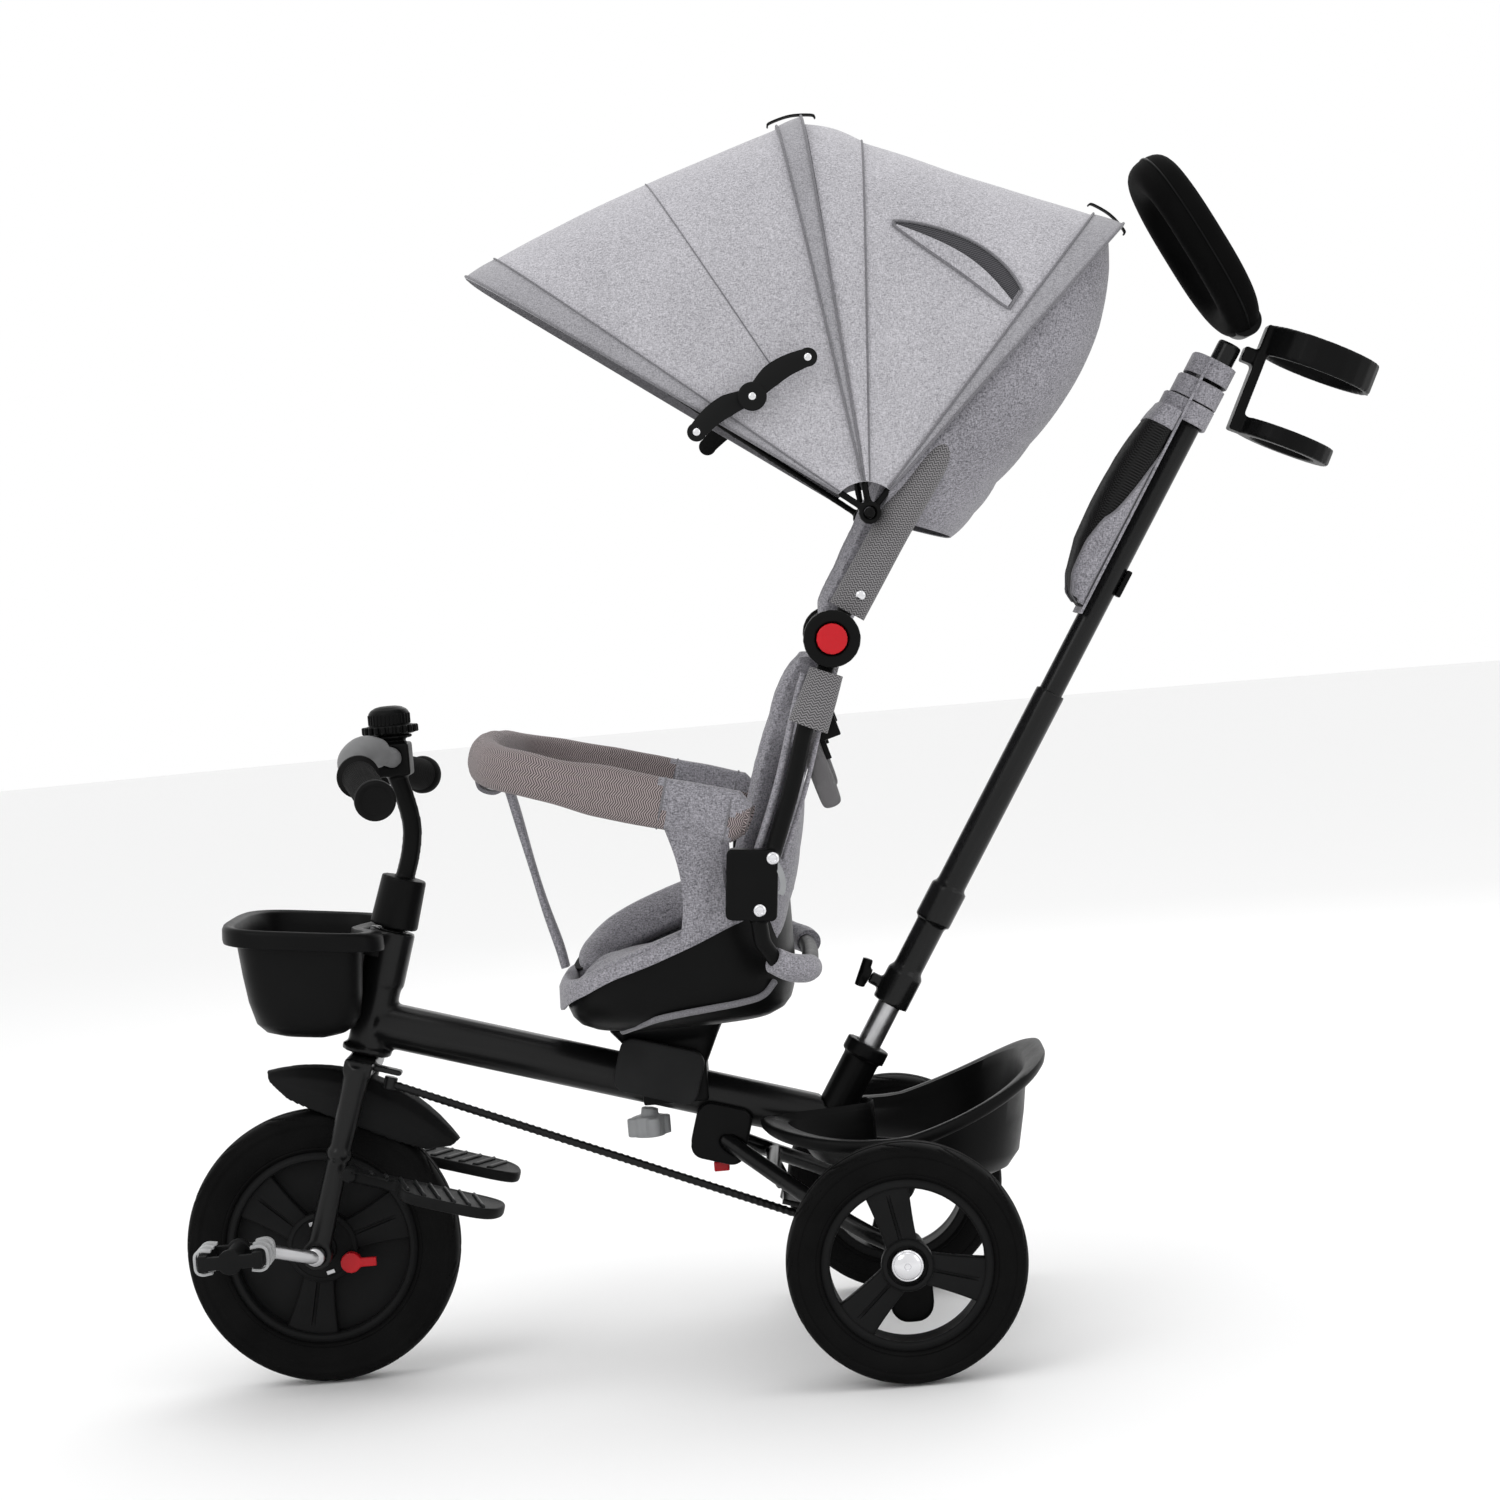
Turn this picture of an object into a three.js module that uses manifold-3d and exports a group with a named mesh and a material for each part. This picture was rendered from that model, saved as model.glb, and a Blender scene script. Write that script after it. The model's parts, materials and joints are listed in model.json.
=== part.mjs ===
// Children's push tricycle with a reclining, hooded seat. Millimetres, +Z up, front towards -X.
import * as THREE from 'three';
import { mergeVertices } from 'three/addons/utils/BufferGeometryUtils.js';
import Module from 'manifold-3d';

const wasm = await Module();
wasm.setup();

// Driving dimensions
const FRONT_R = 125;            // front wheel radius, a 10 inch tyre
const REAR_R = 104;             // rear wheel radius
const WHEEL_W = 44;             // tyre width
const FRONT_X = -446;           // front wheel centre
const REAR_X = 81;              // rear axle
const TRACK = 205;              // half the distance between the rear wheels
const STEER_LEAN = 17.5;        // steering axis behind vertical, degrees
const TUBE_DROP = 17;           // main tube slope, degrees
const TUBE_R = 21;              // main tube radius
const TUBE_Z0 = 314.1;          // main tube centreline height at TUBE_X0
const TUBE_X0 = -347;
const HANDLE_LEAN = 32.1;       // push handle behind vertical, degrees
const HANDLE_FOOT = [58.2, 253.5];
const FRAME_HALF = 158;         // half width of the seat's side tubes
const UPPER_HALF = 141;         // half width of the reclining frame
const HUB = [63, 640];          // recline pivot
const HOOD = [105, 745];        // hood pivot
const BOW = { rear: { deg: 46, r: 330, y: 150 }, mid: { deg: 96, r: 348, y: 158 }, front: { deg: 142, r: 400, y: 166 } };
const FORK_HALF = 48;            // half the distance between the fork legs
const CRANK_R = 64;             // crank length
const CRANK_DEG = 164;          // near crank direction
const GAP = 0.3;                // clearance between neighbouring pieces

const rad = THREE.MathUtils.degToRad;
const v = (x, y, z) => new THREE.Vector3(x, y, z);
const steerDir = v(Math.sin(rad(STEER_LEAN)), 0, Math.cos(rad(STEER_LEAN)));
const handleDir = v(Math.sin(rad(HANDLE_LEAN)), 0, Math.cos(rad(HANDLE_LEAN)));
const axle = v(FRONT_X, 0, FRONT_R);
const onSteer = (s, y = 0, across = 0) =>
  axle.clone().addScaledVector(steerDir, s).add(v(across * steerDir.z, y, -across * steerDir.x));
const onHandle = (t, y = 0, across = 0) =>
  v(HANDLE_FOOT[0], y, HANDLE_FOOT[1]).addScaledVector(handleDir, t)
    .add(v(across * handleDir.z, 0, -across * handleDir.x));
const tubeZ = (x) => TUBE_Z0 - (x - TUBE_X0) * Math.tan(rad(TUBE_DROP));

// Solids
function closed(positions, triangles) {
  let volume = 0;
  const p = (i) => v(positions[3 * i], positions[3 * i + 1], positions[3 * i + 2]);
  for (let i = 0; i < triangles.length; i += 3) {
    volume += p(triangles[i]).dot(p(triangles[i + 1]).cross(p(triangles[i + 2])));
  }
  if (volume < 0) triangles.reverse();
  const g = new THREE.BufferGeometry();
  g.setAttribute('position', new THREE.Float32BufferAttribute(positions, 3));
  g.setIndex(triangles);
  return solid(g);
}

function solid(geometry) {
  const g = geometry.clone();
  g.deleteAttribute('normal');
  g.deleteAttribute('uv');
  const m = mergeVertices(g, 1e-3);
  return new wasm.Manifold(new wasm.Mesh({
    numProp: 3,
    vertProperties: new Float32Array(m.attributes.position.array),
    triVerts: new Uint32Array(m.index.array),
  }));
}

const turned = (from, to) => new THREE.Quaternion().setFromUnitVectors(from, to);

function rod(a, b, r, segments = 12, rEnd = r) {
  const g = new THREE.CylinderGeometry(rEnd, r, a.distanceTo(b), segments);
  g.applyQuaternion(turned(v(0, 1, 0), b.clone().sub(a).normalize()));
  const mid = a.clone().add(b).multiplyScalar(0.5);
  g.translate(mid.x, mid.y, mid.z);
  return solid(g);
}

// A cylinder or disc lying across the tricycle, from y0 to y1
const across = (x, z, y0, y1, r, segments = 14) => rod(v(x, y0, z), v(x, y1, z), r, segments);

// A box centred at c, turned about Y so that its +X end drops by `drop` degrees
function block(c, sx, sy, sz, drop = 0) {
  const g = new THREE.BoxGeometry(sx, sy, sz);
  g.rotateY(rad(drop));
  g.translate(c.x, c.y, c.z);
  return solid(g);
}

// A plate with rounded corners, w along X and h along Z, standing in the XZ plane
function plate(c, w, h, r, thick, drop = 0) {
  const s = new THREE.Shape();
  const a = w / 2;
  const b = h / 2;
  s.moveTo(-a + r, -b);
  s.lineTo(a - r, -b).absarc(a - r, -b + r, r, -Math.PI / 2, 0);
  s.lineTo(a, b - r).absarc(a - r, b - r, r, 0, Math.PI / 2);
  s.lineTo(-a + r, b).absarc(-a + r, b - r, r, Math.PI / 2, Math.PI);
  s.lineTo(-a, -b + r).absarc(-a + r, -b + r, r, Math.PI, 1.5 * Math.PI);
  const g = new THREE.ExtrudeGeometry(s, { depth: thick, bevelEnabled: false, curveSegments: 3 });
  g.translate(0, 0, -thick / 2);
  g.rotateX(Math.PI / 2);
  g.rotateY(rad(drop));
  g.translate(c.x, c.y, c.z);
  return solid(g);
}

// A lathe about the Y direction through (x, z); profile pairs are [radius, y]
function lathe(x, z, profile, segments = 48, y = 0) {
  const g = new THREE.LatheGeometry(profile.map(([r, h]) => new THREE.Vector2(r, h)), segments);
  g.translate(x, y, z);
  const m = solid(g);
  return m;
}

// A turned body: profile pairs are [radius, distance along the axis from a]
function spin(a, dir, profile, segments = 18) {
  const g = new THREE.LatheGeometry(profile.map(([r, h]) => new THREE.Vector2(r, h)), segments);
  g.applyQuaternion(turned(v(0, 1, 0), dir.clone().normalize()));
  g.translate(a.x, a.y, a.z);
  return solid(g);
}

function bent(points, r, steps = 24, segments = 4, tension = 0.5) {
  const path = new THREE.CatmullRomCurve3(points, false, 'catmullrom', tension);
  const s = new THREE.Shape();
  s.absarc(0, 0, r, 0, 2 * Math.PI);
  return solid(new THREE.ExtrudeGeometry(s, {
    steps, curveSegments: segments, bevelEnabled: false, extrudePath: path,
  }));
}

// Rings of points joined into one closed body; the two end rings are closed to their centres
function loft(rings) {
  const n = rings[0].length;
  const pos = [];
  const tri = [];
  rings.forEach((ring) => ring.forEach((p) => pos.push(p.x, p.y, p.z)));
  for (let i = 0; i + 1 < rings.length; i++) {
    for (let j = 0; j < n; j++) {
      const a = i * n + j;
      const b = i * n + (j + 1) % n;
      tri.push(a, b, b + n, a, b + n, a + n);
    }
  }
  for (const end of [0, rings.length - 1]) {
    const c = rings[end].reduce((s, p) => s.add(p), v(0, 0, 0)).multiplyScalar(1 / n);
    const k = pos.length / 3;
    pos.push(c.x, c.y, c.z);
    for (let j = 0; j < n; j++) {
      const a = end * n + j;
      const b = end * n + (j + 1) % n;
      if (end === 0) tri.push(b, a, k); else tri.push(a, b, k);
    }
  }
  return closed(pos, tri);
}

// A thin shell between two grids of points of the same size
function shell(outer, inner) {
  const nu = outer.length;
  const nv = outer[0].length;
  const pos = [];
  const tri = [];
  for (const grid of [outer, inner]) grid.forEach((row) => row.forEach((p) => pos.push(p.x, p.y, p.z)));
  const o = (i, j) => i * nv + j;
  const n = (i, j) => nu * nv + i * nv + j;
  for (let i = 0; i + 1 < nu; i++) {
    for (let j = 0; j + 1 < nv; j++) {
      tri.push(o(i, j), o(i + 1, j), o(i + 1, j + 1), o(i, j), o(i + 1, j + 1), o(i, j + 1));
      tri.push(n(i, j), n(i + 1, j + 1), n(i + 1, j), n(i, j), n(i, j + 1), n(i + 1, j + 1));
    }
  }
  for (let i = 0; i + 1 < nu; i++) {
    tri.push(o(i, 0), n(i + 1, 0), o(i + 1, 0), o(i, 0), n(i, 0), n(i + 1, 0));
    const e = nv - 1;
    tri.push(o(i, e), o(i + 1, e), n(i + 1, e), o(i, e), n(i + 1, e), n(i, e));
  }
  for (let j = 0; j + 1 < nv; j++) {
    tri.push(o(0, j), o(0, j + 1), n(0, j + 1), o(0, j), n(0, j + 1), n(0, j));
    const e = nu - 1;
    tri.push(o(e, j), n(e, j + 1), o(e, j + 1), o(e, j), n(e, j), n(e, j + 1));
  }
  return closed(pos, tri);
}

// A rounded outline in the horizontal plane; power 2 is an ellipse, more is squarer
function outline(cx, a, b, power, zAt, n = 36) {
  const ring = [];
  for (let i = 0; i < n; i++) {
    const t = (2 * Math.PI * i) / n;
    const c = Math.cos(t);
    const s = Math.sin(t);
    const x = cx + a * Math.sign(c) * Math.abs(c) ** (2 / power);
    const y = b * Math.sign(s) * Math.abs(s) ** (2 / power);
    ring.push(v(x, y, zAt(x)));
  }
  return ring;
}

// An open tub: each level gives centre, half length, half width and height
function tub(levels, wall, power, n = 36, limit = null, lip = []) {
  const outer = [...levels.slice(0, -1), ...lip, ...levels.slice(-1)].map((l) => outline(l.x, l.a, l.b, power, l.z, n));
  const inner = levels.slice().reverse().map((l, i, all) => outline(
    l.x, l.a - wall, l.b - wall, power,
    i === all.length - 1 ? (x) => l.z(x) + wall : l.z, n));
  const rings = [...outer, ...inner];
  if (limit) rings.forEach((ring) => ring.forEach((p) => { p.x = limit(p); }));
  return loft(rings);
}

const largest = (m) => m.decompose().sort((a, b) => b.volume() - a.volume())[0];
const mirrored = (m) => m.mirror([0, 1, 0]);
const both = (m) => m.add(mirrored(m));

// Group
const tricycle = new THREE.Group();
tricycle.name = 'tricycle';
function piece(name, body, colour) {
  const data = body.getMesh();
  const g = new THREE.BufferGeometry();
  g.setAttribute('position', new THREE.Float32BufferAttribute(data.vertProperties, 3));
  g.setIndex(Array.from(data.triVerts));
  g.computeVertexNormals();
  const mesh = new THREE.Mesh(g, new THREE.MeshStandardMaterial({ color: colour, name }));
  mesh.name = name;
  tricycle.add(mesh);
  return body;
}
function pair(name, body, colour) {
  piece(`${name}_left`, body, colour);
  piece(`${name}_right`, mirrored(body), colour);
}
const BLACK = 0x151515;
const PAINT = 0x1b1b1d;
const GREY = 0xb4b5b8;
const RED = 0xc8202a;
const STEEL = 0xc0c0c2;

// Wheels
function tyre(x, y, radius, inner) {
  const h = WHEEL_W / 2;
  const depth = radius - inner;
  const profile = [
    [inner, -h + 6], [inner + 0.35 * depth, -h + 0.8], [inner + 0.6 * depth, -h],
    [radius - 5.5, -h + 4], [radius - 1.2, -h + 11], [radius, 0],
    [radius - 1.2, h - 11], [radius - 5.5, h - 4],
    [inner + 0.6 * depth, h], [inner + 0.35 * depth, h - 0.8], [inner, h - 6], [inner, -h + 6],
  ];
  return lathe(x, radius, profile, 32, y);
}

function frontWheel() {
  piece('front_tyre', tyre(FRONT_X, 0, FRONT_R, 88), BLACK);
  const rim = lathe(FRONT_X, FRONT_R, [
    [9, -24], [27, -24], [30, -20], [34, -14], [78, -9], [81, -16], [87.2, -16],
    [87.2, 16], [81, 16], [78, 9], [34, 14], [30, 20], [27, 24], [9, 24], [9, -24],
  ], 28);
  let spokes = rim;
  for (const deg of [20, 145, 263]) {
    for (const side of [-1, 1]) {
      const d = v(Math.cos(rad(deg)), 0, Math.sin(rad(deg)));
      const c = v(FRONT_X, side * 12, FRONT_R).addScaledVector(d, 55);
      spokes = spokes.add(block(c, 52, 7, 20, -deg));
    }
  }
  const knobAt = v(FRONT_X + 27, 0, FRONT_R - 13.5);
  piece('front_rim', spokes.subtract(across(knobAt.x, knobAt.z, -30, -11.5, 7, 12)), BLACK);
  const knob = across(knobAt.x, knobAt.z, -34, -12, 6.6, 14)
    .add(across(knobAt.x, knobAt.z, -34, -24.5, 9.6, 14))
    .add(block(v(knobAt.x + 12, -31, knobAt.z - 0.5), 22, 5, 8));
  piece('clutch_knob', knob, RED);
}

function pedals() {
  const dir = v(Math.cos(rad(CRANK_DEG)), 0, Math.sin(rad(CRANK_DEG)));
  const tip = axle.clone().addScaledVector(dir, CRANK_R);
  const opp = axle.clone().addScaledVector(dir, -CRANK_R);
  const arm = (end, side) => bent([
    v(axle.x, side * 62, axle.z), v(axle.x, side * 70, axle.z).lerp(v(end.x, side * 70, end.z), 0.12),
    v(axle.x, side * 80, axle.z).lerp(v(end.x, side * 80, end.z), 0.85),
    v(end.x, side * 84, end.z), v(end.x, side * 90, end.z),
  ], 6, 10, 4).add(across(end.x, end.z, side * 88, side * 152, 5, 12));
  let crank = across(axle.x, axle.z, -66, 66, 8, 14);
  crank = crank.add(arm(tip, -1)).add(arm(opp, 1));
  piece('crank', crank, STEEL);
  const pedal = (end, side) => {
    const c = v(end.x, side * 125, end.z);
    let body = across(end.x, end.z, side * 96, side * 155, 11, 12);
    for (const k of [-1, 1]) {
      body = body.add(block(c.clone().add(v(k * 24, 0, 0)), 12, 62, 20));
      body = body.add(block(c.clone().add(v(0, k * 27, 0)), 52, 8, 18));
    }
    return body.subtract(across(end.x, end.z, side * 80, side * 153, 5.4, 12));
  };
  piece('pedal_left', pedal(tip, -1), BLACK);
  piece('pedal_right', pedal(opp, 1), BLACK);
}

function rearWheels() {
  const build = (y, degs) => {
    const side = Math.sign(y);
    const outerFace = y + side * 20;
    let rim = lathe(REAR_X, REAR_R, [
      [68, -19], [71, -19], [73.6, -16], [73.6, 16], [71, 19], [68, 19], [68, -19]], 32, y);
    rim = rim.add(across(REAR_X, REAR_R, y - side * 20, outerFace + side * 2, 23, 20));
    for (const deg of degs) {
      const d = v(Math.cos(rad(deg)), 0, Math.sin(rad(deg)));
      const c = v(REAR_X, outerFace - side * 9, REAR_R).addScaledVector(d, 44);
      rim = rim.add(block(c, 50, 16, 22, -deg)).add(block(c.clone().addScaledVector(d, 13)
        .add(v(0, side * 1, 0)), 26, 15, 31, -deg));
    }
    rim = rim.subtract(across(REAR_X, REAR_R, y - side * 30, y + side * 30, 9, 14))
      .subtract(across(REAR_X, REAR_R, outerFace - side * 6, outerFace + side * 10, 18, 16));
    return rim;
  };
  const cap = rod(v(REAR_X, -TRACK - 14.5, REAR_R), v(REAR_X, -TRACK - 26, REAR_R), 14.5, 24, 9);
  piece('rear_tyre_left', tyre(REAR_X, -TRACK, REAR_R, 74), BLACK);
  piece('rear_tyre_right', tyre(REAR_X, TRACK, REAR_R, 74), BLACK);
  piece('rear_rim_left', build(-TRACK, [100, 225, 345]), BLACK);
  piece('rear_rim_right', build(TRACK, [20, 140, 260]), BLACK);
  pair('axle_cap', cap, STEEL);
}

// Frame
function frame() {
  const start = v(-378, 0, tubeZ(-378));
  const end = v(34, 0, tubeZ(34));
  const headTube = spin(onSteer(0), steerDir, [[12.6, 180.6], [23, 180.6], [23, 187], [19, 187], [19, 246],
    [21, 246], [21, 296], [12.6, 296], [12.6, 180.6]], 20);
  const main = largest(rod(start, end, TUBE_R, 20).subtract(rod(onSteer(120), onSteer(330), 16, 16)))
    .add(headTube).subtract(rod(onHandle(-90), onHandle(30), 17 + GAP, 16));
  piece('main_frame', main, PAINT);
  piece('handle_socket', spin(onHandle(0), handleDir, [[0, -74], [17, -74], [17, 2], [20.5, 2], [20.5, 15],
    [11.5, 15], [11.5, -64], [0, -64]], 16), BLACK);

  const tube = rod(start, end, TUBE_R + GAP, 20);
  const post2 = loft([
    outline(-112, 30, 26, 6, () => 262, 24), outline(-114, 44, 28, 6, () => 288, 24),
    outline(-116, 53, 40, 6, () => 302, 24),
  ]).add(block(v(-112, 0, 250), 60, 50, 40)).subtract(tube);
  piece('seat_post', largest(post2), BLACK);
  const ring = plate(v(-125, 0, 262), 78, 50, 12, 76, TUBE_DROP);
  const inside = block(v(-112, 0, 262), 61.2, 53.2, 140)
    .add(loft([outline(-112, 30.6, 26.6, 6, () => 250, 24), outline(-112, 30.6, 26.6, 6, () => 262, 24),
      outline(-114, 44.6, 28.6, 6, () => 287.6, 24), outline(-116, 54, 41, 6, () => 301.6, 24)]));
  piece('post_cover', ring.subtract(inside).subtract(tube), 0x2e2f33);

  const knobTop = v(-138, 0, tubeZ(-138) - TUBE_R / Math.cos(rad(TUBE_DROP)) - GAP);
  const shaftEnd = knobTop.clone().add(v(-2, 0, -16));
  let knob = rod(knobTop.clone().add(v(0, 0, -3)), shaftEnd, 8, 14);
  knob = knob.add(rod(shaftEnd.clone().add(v(0, 0, 6)), shaftEnd.clone().add(v(0, 0, -13)), 14, 16));
  for (let i = 0; i < 4; i++) {
    const a = rad(90 * i + 20);
    const c = shaftEnd.clone().add(v(14 * Math.cos(a), 14 * Math.sin(a), 0));
    knob = knob.add(rod(c.clone().add(v(0, 0, 5)), c.clone().add(v(0, 0, -12)), 6.5, 12));
  }
  piece('seat_knob', knob, GREY);
}

const REAR_ARM = [v(-76, -15, 196), v(-46, -44, 176), v(10, -104, 141), v(56, -134, 114), v(REAR_X, -138, REAR_R)];
function rearFrame() {
  const arm = bent(REAR_ARM, 8, 14, 4);
  let frameSet = both(arm).add(across(REAR_X, REAR_R, -178, 178, 10.5, 16));
  frameSet = frameSet.add(across(REAR_X, REAR_R, -218, 218, 8.2, 12));
  frameSet = frameSet.add(rod(v(-62, -30, 186), v(-62, 30, 186), 7, 12));
  frameSet = frameSet.add(rod(v(-30, -64, 166), v(-30, 64, 166), 7, 12));
  frameSet = frameSet.add(rod(v(-31, 0, 166), v(-21, 0, 143), 8, 12));
  const armCut = both(bent(REAR_ARM, 8 + GAP, 14, 4))
    .add(rod(v(-62, -40, 186), v(-62, 40, 186), 7 + GAP, 12));
  const tube = rod(v(-378, 0, tubeZ(-378)), v(60, 0, tubeZ(60)), TUBE_R + GAP, 20);
  let latch = plate(v(-74, 0, 199), 50, 52, 12, 54, TUBE_DROP)
    .add(plate(v(-82, 0, 203), 34, 40, 8, 50, TUBE_DROP));
  latch = latch.subtract(tube).subtract(armCut)
    .subtract(block(v(-77, 0, 168), 17, 24, 14));
  piece('rear_frame', frameSet.subtract(tube), PAINT);
  piece('fold_latch', largest(latch), BLACK);
  piece('latch_tab', block(v(-77, 0, 167), 14, 21, 9), RED);
  const hub = across(REAR_X, REAR_R, -174, -150, 18, 16);
  let brake = hub.add(plate(v(REAR_X + 2, -162, REAR_R - 34), 38, 52, 16, 22, 0));
  brake = brake.subtract(across(REAR_X, REAR_R, -182, -140, 11.2, 18));
  piece('brake_pedal', largest(brake), BLACK);
}

function baskets() {
  const rearRim = (x) => 198 + 16 * ((x - 75) / 110) ** 2 + Math.max(0, x - 90) * 0.2;
  const rear = tub([
    { x: 92, a: 78, b: 92, z: (x) => 170 - (x - 10) * 0.15 },
    { x: 96, a: 97, b: 116, z: (x) => 183 - (x - 10) * 0.1 },
    { x: 95, a: 114, b: 130, z: (x) => rearRim(x) },
  ], 3, 3, 24, null, [
    { x: 95, a: 112, b: 128, z: (x) => rearRim(x) - 9 },
    { x: 92, a: 130, b: 140, z: (x) => rearRim(x) - 8 },
    { x: 92, a: 131, b: 141, z: (x) => rearRim(x) },
  ]);
  const notch = block(v(0, 0, 224), 124, 52, 98);
  piece('rear_basket', largest(rear.subtract(notch)), BLACK);

  const rim = (x) => 419 - (x + 420) * 0.12;
  const body = tub([
    { x: -428, a: 38, b: 62, z: (x) => 320 + Math.abs(x + 420) * 0.1 },
    { x: -430, a: 52, b: 78, z: () => 334 },
    { x: -432, a: 58, b: 88, z: () => 370 },
    { x: -432, a: 64, b: 94, z: rim },
  ], 2.6, 4, 32, (p) => {
    // the rear wall bows in around the head tube
    const middle = -440;
    if (p.x < middle) return p.x;
    const clear = FRONT_X + (p.z - FRONT_R) * Math.tan(rad(STEER_LEAN)) - 30;
    const rear = -390 + (p.z - 320) * 0.4;
    const most = 1 - (clear - middle) / (rear - middle);
    return middle + (p.x - middle) * (1 - most * Math.exp(-((p.y / 48) ** 2)));
  }, [
    { x: -432, a: 62, b: 93, z: (x) => rim(x) - 12 },
    { x: -428, a: 76, b: 102, z: (x) => rim(x) - 11 },
    { x: -428, a: 77, b: 103, z: rim },
  ]);
  piece('front_basket', body, BLACK);
}

// Fork, stem and handlebar
function steering() {
  let fork = rod(onSteer(172), onSteer(298), 12.3, 14);
  fork = fork.add(onSteerPlate(172.5, 26, 2 * FORK_HALF + 14, 14));
  const leg = spin(onSteer(0, -FORK_HALF), steerDir, [[0, 2], [11.5, 2], [10, 88], [12.5, 89], [12.5, 96],
    [10.5, 97], [12, 174], [0, 174]], 14)
    .add(across(axle.x, axle.z, -FORK_HALF - 9, -FORK_HALF + 10, 14, 16));
  fork = fork.add(both(leg)).subtract(across(axle.x, axle.z, -80, 80, 8.4, 14));
  fork = fork.add(bracketArm());
  piece('fork', fork, PAINT);

  let stem = rod(onSteer(299), onSteer(345), 22, 28, 20.5);
  stem = stem.add(bent([onSteer(335), v(-335, 0, 474), v(-331, 0, 500), v(-335, 0, 526), v(-341, 0, 548)], 9, 12, 4));
  stem = stem.add(block(v(-341, 0, 562), 30, 36, 30));
  const bar = HANDLEBAR.map((p) => v(p[0], p[1], p[2]));
  stem = stem.add(rod(v(-343, 0, 570), v(-343, 0, 583), 13, 12))
    .add(rod(v(-343, 0, 581), v(-343, 0, 584.4), 20, 14));
  stem = stem.subtract(bent(barPath(bar), 9 + GAP, 32, 4));
  piece('stem', stem, BLACK);
  piece('handlebar', bent(barPath(bar), 9, 32, 4), GREY);
  const inner = bar[4];
  const outer = bar[5];
  const along = outer.clone().sub(inner).normalize();
  const grip = spin(inner, along, [[0, 117], [10.4, 117], [10.4, 4], [19, 4], [19, 10], [15, 11],
    [15, 110], [17.5, 112], [17.5, 122], [0, 122]]);
  pair('grip', grip, BLACK);
  piece('bell_dome', spin(v(-343, 0, 584.8), v(0, 0, 1), [[0, 0], [24, 0], [26, 2], [26, 6.5], [24, 8.5],
    [18.5, 8.5], [18.5, 20], [12, 25], [0, 26]], 20), BLACK);
}
const HANDLEBAR = [
  [-341, 0, 562], [-344, -24, 566], [-361, -47, 572], [-371, -64, 566], [-366, -82, 554], [-339, -192, 537],
];
function barPath(bar) {
  const near = bar.slice().reverse();
  const far = bar.slice(1).map((p) => v(p.x, -p.y, p.z));
  const dense = [near[0], near[0].clone().lerp(near[1], 0.5), ...near.slice(1), ...far.slice(0, -1),
    far[far.length - 2].clone().lerp(far[far.length - 1], 0.5), far[far.length - 1]];
  return dense;
}
function onSteerPlate(s, wide, long, thick) {
  const g = new THREE.BoxGeometry(wide, long, thick);
  g.rotateY(rad(STEER_LEAN));
  const c = onSteer(s);
  g.translate(c.x, c.y, c.z);
  return solid(g);
}
const LEVER_ARM = 33;           // rod pin offset from the steering axis
const ROD_FRONT = onSteer(171, -LEVER_ARM, 30);
const LEVER_AT = v(-16, 0, 138);
function bracketArm() {
  const g = new THREE.BoxGeometry(34, 18, 5);
  g.rotateY(rad(STEER_LEAN));
  const c = onSteer(174.5, -LEVER_ARM, 22);
  g.translate(c.x, c.y, c.z);
  return solid(g);
}
function linkage() {
  const rear = LEVER_AT.clone().add(v(0, -LEVER_ARM, 0)).addScaledVector(steerDir, -16)
    .add(v(30 * steerDir.z, 0, -30 * steerDir.x));
  const front = ROD_FRONT.clone().addScaledVector(steerDir, -8);
  const body = rod(front, rear, 4, 12)
    .add(rod(front.clone().addScaledVector(steerDir, -5), front.clone().addScaledVector(steerDir, 6.4), 6, 12))
    .add(rod(rear.clone().addScaledVector(steerDir, -5), rear.clone().addScaledVector(steerDir, 5), 6, 12));
  piece('steering_rod', body, BLACK);
  const g = new THREE.BoxGeometry(44, LEVER_ARM + 16, 5);
  g.rotateY(rad(STEER_LEAN));
  const c = LEVER_AT.clone().add(v(0, -LEVER_ARM / 2 - 4, 0)).addScaledVector(steerDir, -4)
    .add(v(15 * steerDir.z, 0, -15 * steerDir.x));
  g.translate(c.x, c.y, c.z);
  piece('steer_lever', solid(g).add(rod(LEVER_AT.clone().addScaledVector(steerDir, -9),
    LEVER_AT.clone().addScaledVector(steerDir, 1), 9, 20)), BLACK);
}

function mudguard() {
  const rows = 14;
  const cols = 8;
  const grid = (shrink) => {
    const out = [];
    for (let i = 0; i <= rows; i++) {
      const u = i / rows;
      const deg = 103 - 70 * u;
      const top = 168 - 9 * u - shrink;
      const arch = Math.sin(Math.PI * Math.min(0.999, Math.max(0.001, u)));
      const depth = 4 + 41 * arch ** 0.4;
      const half = 11 + 18 * arch ** 0.5 - shrink;
      const row = [];
      for (let j = 0; j <= cols; j++) {
        const t = rad(-90 + (180 * j) / cols);
        const r = top - depth * (1 - Math.cos(t)) - 0;
        row.push(v(FRONT_X + r * Math.cos(rad(deg)), half * Math.sin(t), FRONT_R + r * Math.sin(rad(deg))));
      }
      out.push(row);
    }
    return out;
  };
  piece('mudguard', shell(grid(0), grid(2.5)), BLACK);
}

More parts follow.
